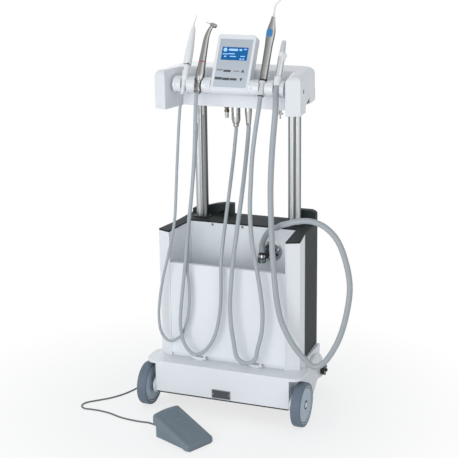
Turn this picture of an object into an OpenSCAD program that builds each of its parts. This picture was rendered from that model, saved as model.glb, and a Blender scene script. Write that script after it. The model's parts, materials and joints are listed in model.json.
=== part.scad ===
// Portable dental unit: a wheeled cabinet with two lifting columns that carry a
// head with four instruments, a tilting display and a separate foot pedal.
// Millimetres. +Z is up and the front faces -Y. The origin is on the floor,
// under the middle of the wheel axle.

/* [Wheels] */
// Diameter of a wheel over its tyre
wheel_d = 125; // [122:1:128]
// Width of a tyre
wheel_w = 28; // [24:1:30]
// Diameter of the rim inside the tyre
rim_d = 88; // [76:1:96]
// Diameter of the axle rod
axle_d = 12; // [8:1:14]
// Gap between a side leg plate and the wheel beside it
wheel_gap = 7; // [6:0.5:12]

/* [Base] */
// Width of the base between its side faces
base_w = 402; // [390:1:404]
// How far the base's front face lies ahead of the axle
base_front = 23; // [15:1:40]
// How far the base's rear face lies behind the axle
base_rear = 262; // [256:1:264]
// Height of the base housing's lower edge
base_low = 52; // [50:1:54]
// Height of the base's top face
base_top = 143; // [140:1:145]
// Wall of the base housing
base_wall = 3; // [2:0.5:4]
// Thickness of the dark bottom plate
plate_t = 5; // [3:0.5:6]
// How far a wheel guard reaches out past the base's side
guard_out = 34; // [28:1:38]
// Thickness of the base's top and its wheel guards
guard_t = 8; // [5:1:9]

/* [Side legs] */
// Thickness of a side leg plate
leg_t = 8; // [5:0.5:9]
// Gap between the base and a side leg plate
leg_gap = 1; // [0.5:0.5:2]
// Height of a rubber sole
sole_h = 6; // [4:1:8]
// Diameter of the lobed clamp knob
knob_d = 34; // [28:1:36]
// Distance of the clamp knob behind the axle
knob_y = 253; // [248:1:256]
// Height of the clamp knob
knob_z = 66; // [62:1:76]

/* [Cabinet] */
// Height of the cabinet's top face
body_top = 517; // [500:1:525]
// Width of the flat front face of a cheek
cheek_w = 37; // [35:0.5:41]
// Distance of the cheeks' inner front edges behind the axle
cheek_in_y = 31; // [28:1:36]
// How far the cheeks reach out past the base's sides
cheek_out = 9; // [4:0.5:11]
// Distance of the cheeks' outer front edges behind the axle
cheek_out_y = 47; // [44:1:52]
// How far the seam of cheeks and dark rear shell lies in from the base's sides
seam_in = 5; // [1:0.5:7]
// Distance of that seam behind the axle
seam_y = 133; // [120:1:140]
// How far the rear shell's back corners lie in from the base's sides
rear_in = 11; // [8:0.5:15]
// Distance of the rear shell's back face behind the axle
rear_y = 267; // [264:1:268]
// How far each side of the recess comes in towards its back wall
recess_in = 11.5; // [9:0.5:14]
// Distance of the recess's back wall behind the axle
recess_y = 165; // [155:1:168]
// Wall of the cabinet's panels
panel_t = 3; // [2:0.5:3.5]
// Thickness of the dark top trim
trim_t = 5; // [3:0.5:7]
// Height of the two rear humps above the top face
hump_h = 33; // [25:1:36]
// Depth of the humps and of the ledge they stand on
hump_deep = 20; // [16:1:22]

/* [Flap] */
// How far the flap's upper edge lies below the cabinet's top face
flap_down = 92; // [82:1:112]
// Thickness of the flap panel
flap_t = 3; // [2:0.5:4]
// Gap round the flap
flap_gap = 0.8; // [0.5:0.1:1.2]
// Height of the flap's hinge axis above the base's top
flap_axis_up = 4; // [4:0.5:5]
// Distance of the flap's hinge axis ahead of the flap's front face
flap_axis_out = 5; // [4.5:0.5:6]
// Diameter of the flap's hinge pins
flap_pin_d = 4; // [3:0.5:4]
// Distance of each hinge from the middle
flap_hinge_x = 85; // [60:1:120]

/* [Columns] */
// How far each column stands in from the base's side
column_in = 60; // [59:1:65]
// Distance of the columns behind the axle
column_y = 206; // [200:1:210]
// Diameter of one round lobe of the column section
lobe_d = 19; // [17.5:0.5:20]
// Distance between the two lobes of a column
lobe_pitch = 18; // [15:0.5:19]
// Wall of the column tube
column_wall = 3; // [2:0.25:3]
// How deep the columns stand in the cabinet with the head raised
column_sunk = 125; // [117:1:131]
// Travel of the head
travel = 325; // [250:1:326]
// Running gap between a column and its sleeve
slide_gap = 0.3; // [0.3:0.05:0.5]
// Wall of the sleeve
sleeve_wall = 4; // [3:0.5:5]
// Height of the black collar on the top trim
collar_h = 3; // [2:0.5:6]
// Diameter of the gas spring's cylinder
strut_d = 12; // [10:0.25:12]
// Diameter of the gas spring's rod
rod_d = 6; // [5:0.5:8]

/* [Head] */
// Gap between the collars and the head at its lowest
head_rest = 16; // [10:1:30]
// Height of the head
head_h = 106; // [94:1:114]
// Radius of the head's upper edges
head_edge_r = 18; // [8:1:19]
// Wall of the head's shell
head_wall = 4; // [3:0.5:5]
// How far each arm comes in from its tip to the cross band
band_in = 17; // [15:0.5:20]
// Distance of the cross band's front face behind the axle
band_y = 119; // [112:1:122]
// How far the head's back corners lie in from the base's sides
head_in = 2; // [0:0.5:5]
// Distance of the head's back face behind the axle
head_rear_y = 242; // [238:1:244]
// Radius of the head's rear corners in plan
head_corner_r = 42; // [20:1:50]
// Height of the dark under plate above the head's lower edge
under_up = 17; // [15:1:20]
// Thickness of the dark under plate
under_t = 4; // [3:0.5:6]

/* [Instrument bar] */
// Diameter of the holders round the bar
bar_d = 45; // [44:0.5:47]
// Distance of the bar behind the axle
bar_y = 74; // [72:1:78]
// Height of the bar above the head's lower edge
bar_up = 65; // [54:1:69]
// Diameter of the shaft inside the bar
shaft_d = 14; // [11:0.5:14.5]
// How far the shaft lies behind the bar's middle, square to the instruments
shaft_back = 8.5; // [8:0.25:9]
// Backward tilt of the instruments and of the display
tilt = 28; // [24:1:30]
// How far the instruments' axes lie ahead of the bar's middle
slot_front = 17; // [16:0.5:18]
// Radial clearance of an instrument in its slot
slot_gap = 0.4; // [0.3:0.05:0.8]
// Width of the hose and display stretch of the bar
display_w = 110; // [104:1:114]
// Offset of the display from the middle
display_x = 6; // [2:1:8]

/* [Display] */
// Length of the display housing above the bar's middle
display_h = 142; // [125:1:150]
// Thickness of the display housing
display_t = 28; // [22:1:29]
// Distance of the display's front face ahead of the bar's middle
display_front = 18.3; // [16:0.1:20]
// Width of the keypad foil
foil_w = 94; // [84:1:98]
// Length of the keypad foil
foil_h = 136; // [124:1:138]
// Width of the liquid crystal window
lcd_w = 75; // [60:1:78]
// Height of the liquid crystal window
lcd_h = 37; // [30:1:44]
// Thickness of the foil and of the window
foil_t = 1; // [0.6:0.1:1.4]

/* [Instruments] */
// Distance of the scaler from the bar's left end
scaler_in = 31; // [27:1:33]
// Distance of the micromotor from the scaler
motor_pitch = 43; // [40:1:45]
// Distance of the three-way syringe from the suction handpiece
syringe_pitch = 41; // [40:1:43]
// Distance of the suction handpiece from the bar's right end
suction_in = 20; // [19:1:21]
// Widest diameter of the scaler
scaler_d = 23; // [20:0.5:24]
// Widest diameter of the micromotor
motor_d = 26; // [23:0.5:27]
// Diameter of the syringe body
syringe_d = 21; // [18:0.5:22]
// Diameter of the suction handpiece
suction_d = 18; // [17:0.5:19]
// Diameter of the syringe button
button_d = 15; // [12:0.5:16]
// Travel of the syringe button
button_travel = 1.5; // [1:0.25:2]
// Travel of the suction slider
slider_travel = 14; // [10:1:16]

/* [Hoses] */
// Diameter of the scaler hose
hose1_d = 8; // [7:0.5:9]
// Diameter of the motor hose
hose2_d = 10; // [8:0.5:11]
// Diameter of the syringe hose
hose3_d = 12; // [10:0.5:13]
// Diameter of the suction hose
hose4_d = 16; // [14:0.5:16]
// Distance of the hose couplings behind the axle
coupling_y = 145; // [140:1:150]
// Diameter of the chrome socket ring for the suction hose
socket_d = 60; // [52:1:64]
// Place of the suction socket across the recess
socket_x = 88; // [82:1:94]
// Height of the suction socket below the cabinet's top face
socket_down = 71; // [65:1:77]

/* [Pedal] */
// Length of the pedal's foot
pedal_len = 140; // [130:1:150]
// Width of the pedal's cover
pedal_w = 94; // [86:1:100]
// Height of the cover at the hinged end
pedal_low = 18; // [17:1:22]
// Height of the cover at the raised end
pedal_high = 70; // [66:1:74]
// Overhang of the cover past its foot at the raised end
pedal_over = 8; // [6:1:10]
// Wall of the pedal's cover
pedal_wall = 3; // [2:0.5:3]
// Turn of the pedal on the floor
pedal_turn = 155.5; // [150:0.5:160]
// Place of the pedal's hinged end across the unit
pedal_x = 24; // [10:1:40]
// Diameter of the pedal cable
cable_d = 5; // [4.5:0.25:5.5]
// Turns in each layer of the cable's coil
coil_turns = 2.5; // [1.5:1:3.5]
// Radius of the coil's innermost turn
coil_r = 20; // [18:0.5:24]
// Radial step of the coil's turns, as cable diameters
coil_step = 1.3; // [1.28:0.01:1.5]

/* [Hidden] */

$fn = 48;
// clearance of a cut past the face that it opens
cut = 1;
// running clearance of a pin or shaft in its bore, radial
run = 0.05;
// gap between neighbouring pieces of two bodies
gap = 0.3;
// unit vector towards the left and the right side
sides = [-1, 1];

wheel_r = wheel_d / 2;
// width over the outer faces of the two wheels
track_w = base_w + 2 * (leg_gap + leg_t + wheel_gap + wheel_w);
wheel_x = track_w / 2 - wheel_w / 2;
tyre_deep = (wheel_d - rim_d) / 2;
bolt_hole = 3;
base_x = base_w / 2;
leg_x = base_x + leg_gap;
unit_rear = knob_y + knob_d / 2;
trim_rear = rear_y - hump_deep;
panel_low = base_top;
panel_high = body_top - trim_t;
// widths of the cabinet and of the head
cheek_out_w = base_w + 2 * cheek_out;
cheek_in_w = cheek_out_w - 2 * cheek_w;
seam_w = base_w - 2 * seam_in;
rear_w = base_w - 2 * rear_in;
recess_w = cheek_in_w - 2 * recess_in;
band_w = cheek_in_w - 2 * band_in;
head_rear_w = base_w - 2 * head_in;
column_x = base_x - column_in;
// heights, with the head raised
flap_top = body_top - flap_down;
socket_z = body_top - socket_down;
column_low = body_top - column_sunk;
head_low = body_top + collar_h + travel + head_rest;
head_top = head_low + head_h;
bar_z = head_low + bar_up;
// places along the bar; the holders stop short of the arms, and the shaft reaches into them
arm_end = 5.5;
arm_x = (band_w + cheek_in_w) / 4;
holder_end = arm_x - arm_end;
scaler_x = scaler_in - holder_end;
motor_x = scaler_x + motor_pitch;
suction_x = holder_end - suction_in;
syringe_x = suction_x - syringe_pitch;

// ---- outlines and helpers ----

// points of an arc about c, from angle a0 to a1, in n steps
function arc(c, r, a0, a1, n = 6) =
    [for (i = [0:n]) let (a = a0 + (a1 - a0) * i / n) c + r * [cos(a), sin(a)]];
function unit(v) = v / norm(v);
function mirror_x(p) = [for (i = [len(p) - 1:-1:0]) [-p[i][0], p[i][1]]];
// where the line through a along u meets the line through b along v
function meet(a, u, b, v) =
    a + u * ((b - a)[0] * v[1] - (b - a)[1] * v[0]) / (u[0] * v[1] - u[1] * v[0]);
// outline p, counterclockwise, drawn in by t on every side
function inset(p, t) = let (n = len(p)) [for (i = [0:n - 1])
    let (
        a = p[(i + n - 1) % n], b = p[i], c = p[(i + 1) % n],
        u = unit(b - a), v = unit(c - b),
        m = [-u[1], u[0]] * t, k = [-v[1], v[0]] * t
    ) abs(u[0] * v[1] - u[1] * v[0]) < 0.001 ? b + k : meet(b + m, u, b + k, v)];

module prism(p, z0, z1) {
    translate([0, 0, z0]) linear_extrude(z1 - z0) polygon(p);
}
// outline of [y, z] points, extruded from x0 to x1
module slab_x(p, x0, x1) {
    translate([x0, 0, 0]) rotate([90, 0, 90]) linear_extrude(x1 - x0) polygon(p);
}
module box(lo, hi) {
    translate(lo) cube(hi - lo);
}
module rod_x(d, x0, x1) {
    translate([x0, 0, 0]) rotate([0, 90, 0]) cylinder(d = d, h = x1 - x0);
}
module both_sides() {
    children();
    mirror([1, 0, 0]) children();
}
// solid of outline p from z0 to z1 with its upper edges rounded to radius r
module rounded_top(p, z0, z1, r, steps = 5) {
    ring = function (t, z) [for (q = inset(p, t)) [q[0], q[1], z]];
    rings = concat([ring(0, z0)], [for (i = [0:steps]) let (a = 90 * i / steps)
        ring(r * (1 - cos(a)), z1 - r + r * sin(a))]);
    n = len(p);
    m = len(rings);
    // the two arms and the body between them, so that every cap face is convex
    caps = [[0, 1, 2, 3], [0, for (i = [3:n - 4]) i, n - 1], [for (i = [n - 4:n - 1]) i]];
    polyhedron(
        [for (r1 = rings) for (q = r1) q],
        concat(
            caps,
            [for (j = [0:m - 2]) for (i = [0:n - 1])
                [j * n + i, (j + 1) * n + i, (j + 1) * n + (i + 1) % n, j * n + (i + 1) % n]],
            [for (c = caps) [for (i = [len(c) - 1:-1:0]) (m - 1) * n + c[i]]]),
        convexity = 8);
}

// ---- free cords ----

// smooth curve through the points of a route, with n steps between two points
function blend4(a, b, c, d, t) = 0.5 * (2 * b + (c - a) * t
    + (2 * a - 5 * b + 4 * c - d) * t * t + (3 * b - a - 3 * c + d) * t * t * t);
function curve(p, n) = let (m = len(p) - 1) [for (i = [0:m - 1]) for (j = [0:n - 1])
        blend4(p[i > 0 ? i - 1 : 0], p[i], p[i + 1], p[i + 2 <= m ? i + 2 : m], j / n), p[m]];
function heading(c, i) = unit(c[min(i + 1, len(c) - 1)] - c[max(i - 1, 0)]);
// tube of diameter d along curve c; side is a direction that c never takes
module tube(c, d, n, side) {
    m = len(c);
    pts = [for (i = [0:m - 1])
        let (t = heading(c, i), u = unit(cross(side, t)), v = cross(t, u))
        for (k = [0:n - 1]) let (a = 360 * (k + 0.5) / n) c[i] + d / 2 * (cos(a) * u + sin(a) * v)];
    quads = [for (i = [0:m - 2]) for (k = [0:n - 1])
        [i * n + k, (i + 1) * n + k, (i + 1) * n + (k + 1) % n, i * n + (k + 1) % n]];
    faces = concat([[for (k = [0:n - 1]) k]],
        [for (q = quads) each [[q[0], q[1], q[2]], [q[0], q[2], q[3]]]],
        [[for (k = [n - 1:-1:0]) (m - 1) * n + k]]);
    polyhedron(pts, faces, convexity = 10);
}

// ---- wheels ----

module tyre(s) {
    color("slategray") translate([s * wheel_x, 0, wheel_r]) rotate([0, 90, 0])
        rotate_extrude($fn = 96) difference() {
            intersection() {
                translate([rim_d / 2, -wheel_w / 2]) square([tyre_deep, wheel_w]);
                union() {
                    translate([0, -wheel_w / 2 + tyre_deep / 3])
                        square([wheel_r, wheel_w - 2 * tyre_deep / 3]);
                    translate([0, -wheel_w / 2]) square([wheel_r - tyre_deep / 3, wheel_w]);
                    for (e = sides) translate([wheel_r - tyre_deep / 3, e * (wheel_w / 2 - tyre_deep / 3)])
                        circle(tyre_deep / 3);
                }
            }
            translate([rim_d / 2, 0]) circle(tyre_deep / 5);
        }
}
rim_t = wheel_w * 0.75;
module rim(s) {
    color("lightsteelblue") translate([s * wheel_x, 0, wheel_r]) rotate([0, s * 90, 0])
        difference() {
            rotate_extrude($fn = 96) {
                translate([axle_d / 2 + run, -wheel_w / 2 + cut]) square([axle_d / 2, wheel_w - cut - cap_t - gap]);
                // dished disc near the outer face, with two rings
                translate([axle_d - 1, rim_t / 5]) square([rim_d / 2 - axle_d, rim_t / 5]);
                translate([rim_d / 2 - 5, -rim_t / 2]) square([5, rim_t]);
                translate([rim_d / 2, 0]) circle(tyre_deep / 5 - gap / 3);
                translate([rim_d / 3 + 3, rim_t / 5]) square([2.5, rim_t / 4]);
                translate([axle_d * 1.2, rim_t / 5]) square([2, rim_t / 4]);
            }
            for (a = [0:72:359]) rotate(a) translate([rim_d / 4 + 1, 0, -wheel_w])
                cylinder(r = bolt_hole, h = 2 * wheel_w);
        }
}
module tyre_left() { tyre(-1); }
module rim_left() { rim(-1); }
module tyre_right() { tyre(1); }
module rim_right() { rim(1); }

cap_t = 2.5;
module wheel_axle() {
    color("silver") translate([0, 0, wheel_r]) {
        rod_x(axle_d, -track_w / 2 + cap_t, track_w / 2 - cap_t);
        for (s = sides) {
            // shaft collar that carries the wheel's inner side
            difference() {
                rod_x(axle_d * 1.7, min(s * (leg_x + leg_t), s * collar_x), max(s * (leg_x + leg_t), s * collar_x));
                rod_x(axle_d, -track_w / 2, track_w / 2);
            }
            // domed cap nut in the rim's hub
            translate([s * (track_w / 2 - cap_t), 0, 0]) rotate([0, s * 90, 0])
                cylinder(d1 = axle_d * 1.6, d2 = axle_d, h = cap_t);
        }
    }
}
collar_x = wheel_x - wheel_w / 2 + cut - gap;

// ---- base ----

guard_r = 30;
module top_outline(t) {
    x = base_x + guard_out - t;
    union() {
        translate([-base_x + t, -base_front + t]) square([base_w - 2 * t, base_front + base_rear - 2 * t]);
        both_sides() {
            translate([x - guard_r, guard_r - base_front + t]) circle(guard_r);
            translate([x - guard_r, wheel_r + 12 - guard_r - t]) circle(guard_r);
            translate([x - guard_r, guard_r - base_front + t])
                square([guard_r, wheel_r + 12 - 2 * guard_r + base_front - 2 * t]);
            translate([base_x - 5 - guard_r, -base_front + t])
                square([x - base_x + 5, wheel_r + 12 + base_front - 2 * t]);
        }
    }
}
module base_housing() {
    color("white") difference() {
        union() {
            box([-base_x, -base_front, base_low], [base_x, base_rear, base_top - guard_t]);
            translate([0, 0, base_top - guard_t]) linear_extrude(guard_t) top_outline(0);
        }
        box([-base_x + base_wall, -base_front + base_wall, base_low - cut],
            [base_x - base_wall, base_rear - base_wall, base_top - guard_t]);
        translate([0, 0, wheel_r]) rod_x(axle_d + 2 * run, -base_x - cut, base_x + cut);
        for (s = sides) sleeve_body(s, cut);
        for (s = sides) knob_hole(s);
        // opening for the pedal socket
        translate([pedal_socket_x, base_rear + cut, pedal_socket_z]) rotate([90, 0, 0])
            cylinder(d = pedal_socket_d, h = base_wall + 2 * cut);
    }
}
module base_plate() {
    color("dimgray") difference() {
        union() {
            box([-base_x + 2, -base_front + 2, base_low - plate_t],
                [base_x - 2, base_rear - 2, base_low]);
            // rim that centres the plate in the housing
            difference() {
                box([-base_x + base_wall + gap, -base_front + base_wall + gap, base_low],
                    [base_x - base_wall - gap, base_rear - base_wall - gap, base_low + 4]);
                box([-base_x + base_wall + 4, -base_front + base_wall + 4, base_low - cut],
                    [base_x - base_wall - 4, base_rear - base_wall - 4, base_low + 4 + cut]);
            }
        }
        translate([0, 0, wheel_r]) rod_x(axle_d + 4, -base_x, base_x);
    }
}
type_w = 56;
type_h = 26;
module type_plate() {
    color("gray") box([-type_w / 2, -base_front - 1, base_low + 2], [type_w / 2, -base_front, base_low + 2 + type_h]);
}

// ---- side legs with rubber soles and clamp knobs ----

leg_sole_y = [100, 152];
leg_line = [
    [leg_sole_y[0], sole_h], [leg_sole_y[1], sole_h], [158, 10], [215, 50],
    [262, 40], [263, 97], [243, 118], [194, 134], [82, 106]];
module leg_plate(s, x, t) {
    x0 = s > 0 ? x : -x - t;
    difference() {
        union() {
            slab_x(leg_line, x0, x0 + t);
            slab_x(concat(arc([0, wheel_r], wheel_r * 0.4, 90, 270, 10),
                [[leg_sole_y[0], sole_h], [82, 106]]), x0, x0 + t);
        }
        translate([0, 0, wheel_r]) rod_x(axle_d + 2 * run, -track_w, track_w);
        translate([0, knob_y, knob_z]) rod_x(stud_d + 2 * run, -track_w, track_w);
    }
}
stud_d = 8;
module side_legs() {
    color("whitesmoke") for (s = sides) leg_plate(s, leg_x, leg_t);
}
module rubber_soles() {
    color("black") for (s = sides) {
        x0 = s > 0 ? leg_x : -leg_x - leg_t;
        box([x0, leg_sole_y[0], 0], [x0 + leg_t, leg_sole_y[1], sole_h]);
        // rear feet under the bottom plate
        translate([s * (base_x - 45), base_rear - 25, 0]) {
            cylinder(d = 30, h = 12);
            cylinder(d = 18, h = base_low - plate_t);
        }
    }
}
knob_t = 12;
module knob_hole(s) {
    translate([0, knob_y, knob_z]) rotate([0, s * 90, 0]) cylinder(d = stud_d + 2 * run, h = track_w);
}
module leg_knob(s) {
    color("black") translate([s * (leg_x + leg_t + gap), knob_y, knob_z]) rotate([0, s * 90, 0]) {
        for (a = [0:60:359]) rotate(a) translate([knob_d / 2 - knob_d / 7, 0, 2])
            cylinder(d = knob_d / 3.5, h = knob_t - 2);
        cylinder(d = knob_d * 0.8, h = knob_t);
        translate([0, 0, -leg_t - leg_gap - gap - base_wall]) cylinder(d = stud_d, h = 30);
    }
}
module leg_knob_left() { leg_knob(-1); }
module leg_knob_right() { leg_knob(1); }

// ---- cabinet ----

// closed outline of the cabinet with its recess, counterclockwise
cabinet = concat(
    [[cheek_in_w / 2, cheek_in_y], [cheek_out_w / 2, cheek_out_y], [seam_w / 2, seam_y],
        [rear_w / 2, rear_y]],
    mirror_x([[cheek_in_w / 2, cheek_in_y], [cheek_out_w / 2, cheek_out_y],
        [seam_w / 2, seam_y], [rear_w / 2, rear_y]]),
    [[-recess_w / 2, recess_y], [recess_w / 2, recess_y]]);
// the same outline, with all that lies behind y taken off
function cut_back(p, y) = [for (q = p) [q[0], min(q[1], y)]];

module band(p, t, z0, z1) {
    difference() {
        prism(p, z0, z1);
        prism(inset(p, t), z0 - cut, z1 + cut);
    }
}
big = 400;
module body_casing() {
    color("white") {
        difference() {
            intersection() {
                band(cabinet, panel_t, panel_low, panel_high);
                box([-big, 0, 0], [big, seam_y, body_top]);
            }
            recess_liner(gap / 3, panel_low - cut, panel_high + cut);
            box([-cheek_in_w / 2 - panel_t, recess_y / 2, 0], [cheek_in_w / 2 + panel_t, seam_y + cut, body_top]);
        }
        // sill under the flap
        box([-cheek_in_w / 2 + 1, cheek_in_y + 6, panel_low],
            [cheek_in_w / 2 - 1, cheek_in_y + 6 + panel_t, flap_low - flap_gap]);
    }
}
flap_low = base_top + 10;
// the recess's walls: side, back and side, as one bent sheet outside the opening
module recess_liner(more, z0, z1) {
    w = panel_t;
    difference() {
        prism([
            [-cheek_in_w / 2 - w - more, cheek_in_y - more],
            [cheek_in_w / 2 + w + more, cheek_in_y - more],
            [recess_w / 2 + w + more, recess_y + w + more],
            [-recess_w / 2 - w - more, recess_y + w + more]], z0, z1);
        prism([
            [-cheek_in_w / 2, cheek_in_y - w], [cheek_in_w / 2, cheek_in_y - w],
            [cheek_in_w / 2, cheek_in_y],
            [recess_w / 2, recess_y], [-recess_w / 2, recess_y],
            [-cheek_in_w / 2, cheek_in_y]], z0 - cut, z1 + cut);
    }
}
module recess_panel() {
    color("gainsboro") difference() {
        union() {
            recess_liner(0, panel_low, panel_high);
            // floor of the bottle compartment
            prism([
                [-cheek_in_w / 2 + 8, cheek_in_y + 6 + panel_t], [cheek_in_w / 2 - 8, cheek_in_y + 6 + panel_t],
                [recess_w / 2 - gap, recess_y], [-recess_w / 2 + gap, recess_y]], panel_low, panel_low + panel_t);
        }
        // seat of the suction socket
        translate([socket_x, recess_y - cut, socket_z]) rotate([-90, 0, 0])
            cylinder(d = socket_d - 12, h = panel_t + 2 * cut);
        // slot outline in the back wall
        translate([0, recess_y, slot_z]) rotate([-90, 0, 0]) translate([-9, -5, -cut]) difference() {
            cube([18, 10, cut + 0.8]);
            translate([1, 1, -cut]) cube([16, 8, 3 * cut]);
        }
        for (x = screw_x) translate([x, recess_y - cut, screw_z]) rotate([-90, 0, 0])
            cylinder(d = screw_d, h = panel_t + 2 * cut);
    }
}
slot_z = panel_high - 49;
screw_x = [-94, -2, 86];
screw_z = panel_high - 5;
screw_d = 4;
module rear_shell() {
    color("darkslategray") {
        difference() {
            intersection() {
                band(cabinet, panel_t, panel_low, panel_high);
                box([-big, seam_y, 0], [big, rear_y + cut, body_top]);
            }
            box([-recess_w / 2 - 2 * panel_t, 0, 0], [recess_w / 2 + 2 * panel_t, recess_y + 2 * panel_t, body_top]);
            // cooling slots
            for (i = [-4:4]) box([i * 16 - 4, rear_y - 2 * panel_t, vent_z],
                [i * 16 + 4, rear_y + cut, vent_z + vent_h]);
            box([inlet_x - inlet_w / 2, rear_y - 2 * panel_t, inlet_z - inlet_h / 2],
                [inlet_x + inlet_w / 2, rear_y + cut, inlet_z + inlet_h / 2]);
            for (x = rear_screw_x) for (z = rear_screw_z) translate([x, rear_y + cut, z]) rotate([90, 0, 0])
                cylinder(d = screw_d, h = panel_t + 2 * cut);
        }
        // ledge behind the top trim, with the two humps
        difference() {
            union() {
                prism([[-rear_w / 2 - 0.5, trim_rear + gap / 3], [rear_w / 2 + 0.5, trim_rear + gap / 3],
                    [rear_w / 2, rear_y], [-rear_w / 2, rear_y]], panel_high, body_top);
                intersection() {
                    union() {
                        hump([[-rear_x - 2, 0], [127 - rear_x, 0], [127 - rear_x, hump_h], [100 - rear_x, hump_h],
                            [72 - rear_x, hump_h - 5], [40 - rear_x, hump_h - 14], [18 - rear_x, hump_h - 18],
                            [-rear_x - 2, hump_h - 24]]);
                        hump([[rear_x - 82, 0], [rear_x + 2, 0], [rear_x + 2, hump_h - 12], [rear_x - 4, hump_h - 4],
                            [rear_x - 14, hump_h], [rear_x - 70, hump_h], [rear_x - 78, hump_h - 4]]);
                    }
                    prism([[-rear_w / 2 - 0.5, trim_rear + gap / 3], [rear_w / 2 + 0.5, trim_rear + gap / 3],
                        [rear_w / 2, rear_y], [-rear_w / 2, rear_y]], panel_high, body_top + hump_h + cut);
                }
            }
            // triangular grip pocket in the left hump
            translate([0, rear_y - panel_t, 0]) rotate([90, 0, 0]) linear_extrude(hump_deep)
                polygon([[80 - rear_x, body_top + 2], [118 - rear_x, body_top + 2], [118 - rear_x, body_top + 22]]);
        }
    }
}
module hump(p) {
    translate([0, rear_y + cut, body_top]) rotate([90, 0, 0]) linear_extrude(hump_deep + 2 * cut) polygon(p);
}
rear_x = rear_w / 2;
rear_screw_x = [25 - rear_x, rear_x - 25];
rear_screw_z = [panel_low + 27, panel_high - 32];
vent_h = 70;
vent_z = panel_high - 182;
module top_trim() {
    color("darkslategray") difference() {
        prism(cut_back(cabinet, trim_rear), panel_high, body_top);
        for (s = sides) sleeve_body(s, 0.1);
    }
}
module screw(d) {
    // raised head with a cross slot, on the outside of the panel
    difference() {
        union() {
            cylinder(d = 1.8 * d, h = 1.6);
            translate([0, 0, -panel_t]) cylinder(d = d - 0.2, h = panel_t + 0.5);
        }
        for (a = [0, 90]) rotate(a) translate([-d * 0.6, -0.4, 0.9]) cube([d * 1.2, 0.8, 2]);
    }
}
module casing_screws() {
    color("silver") {
        for (x = screw_x) translate([x, recess_y, screw_z]) rotate([90, 0, 0]) screw(screw_d);
        for (x = rear_screw_x) for (z = rear_screw_z) translate([x, rear_y, z]) rotate([-90, 0, 0]) screw(screw_d);
    }
}

// ---- flap with its hinges ----

flap_y = cheek_in_y;
flap_axis_y = flap_y - flap_axis_out;
flap_axis_z = base_top + flap_axis_up;
block_w = 22;
module flap_pins(more) {
    for (s = sides) translate([0, flap_axis_y, flap_axis_z])
        rod_x(flap_pin_d + more, s * flap_hinge_x - block_w, s * flap_hinge_x + block_w);
}
knuckle_d = flap_pin_d + 3;
module front_flap() {
    x = cheek_in_w / 2 - flap_gap;
    color("white") {
        box([-x, flap_y, flap_low], [x, flap_y + flap_t, flap_top]);
        // folded upper lip
        box([-x + 6, flap_y + flap_t, flap_top - flap_t], [x - 6, flap_y + 12, flap_top]);
        // knuckles beside each block, on arms from the panel's lower edge
        for (s = sides) for (e = sides) difference() {
            x0 = s * flap_hinge_x + (e > 0 ? block_w / 2 + gap : -block_w / 2 - gap - 7);
            union() {
                translate([0, flap_axis_y, flap_axis_z]) rod_x(knuckle_d, x0, x0 + 7);
                slab_x([[flap_axis_y - knuckle_d / 4, flap_axis_z + knuckle_d / 4], [flap_axis_y, flap_axis_z - 1],
                    [flap_y + flap_t, flap_low], [flap_y + flap_t, flap_low + 5], [flap_y, flap_low + 5]], x0, x0 + 7);
            }
            flap_pins(2 * run);
        }
    }
}
module flap_hinges() {
    color("white") {
        for (s = sides) difference() {
            box([s * flap_hinge_x - block_w / 2, flap_axis_y - knuckle_d / 2, base_top],
                [s * flap_hinge_x + block_w / 2, flap_y - gap, flap_axis_z + knuckle_d / 2]);
            flap_pins(0);
        }
        flap_pins(0);
    }
}

// ---- suction connection in the recess ----

module suction_socket() {
    translate([socket_x, recess_y, socket_z]) rotate([90, 0, 0]) {
        color("silver") difference() {
            cylinder(d = socket_d, h = 4);
            translate([0, 0, -cut]) cylinder(d = socket_d - 10, h = 4 + 2 * cut);
        }
        color("black") difference() {
            translate([0, 0, -24]) cylinder(d = socket_d - 12, h = 28);
            translate([0, 0, -20]) cylinder(d = socket_d - 16, h = 28);
        }
        color("black") difference() {
            translate([0, 0, -21]) cylinder(d = elbow_d + 8, h = 19);
            translate([0, 0, -19]) cylinder(d = elbow_d, h = 20);
        }
    }
}
elbow_d = 18;
elbow_y = recess_y - 37;
elbow_x = socket_x - 18;
elbow_z = socket_z - 16;
module suction_elbow() {
    a = [elbow_x - socket_x, elbow_y - recess_y + 14, elbow_z - socket_z];
    color("dimgray") {
        // plug in the socket, knuckle, link and upright barb of the hose
        translate([socket_x, recess_y - 14, socket_z]) rotate([-90, 0, 0]) cylinder(d = elbow_d, h = 32);
        translate([socket_x, recess_y - 14, socket_z]) sphere(d = elbow_d + 3);
        translate([socket_x, recess_y - 14, socket_z]) rotate([0, acos(a[2] / norm(a)), atan2(a[1], a[0])])
            cylinder(d = elbow_d - 3, h = norm(a));
        translate([elbow_x, elbow_y, elbow_z - 10]) cylinder(d = elbow_d + 6, h = 24);
        translate([elbow_x, elbow_y, elbow_z]) cylinder(d = elbow_d, h = hose4_start - elbow_z);
    }
}
hose4_start = socket_z + 6;

// ---- what works inside ----

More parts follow.
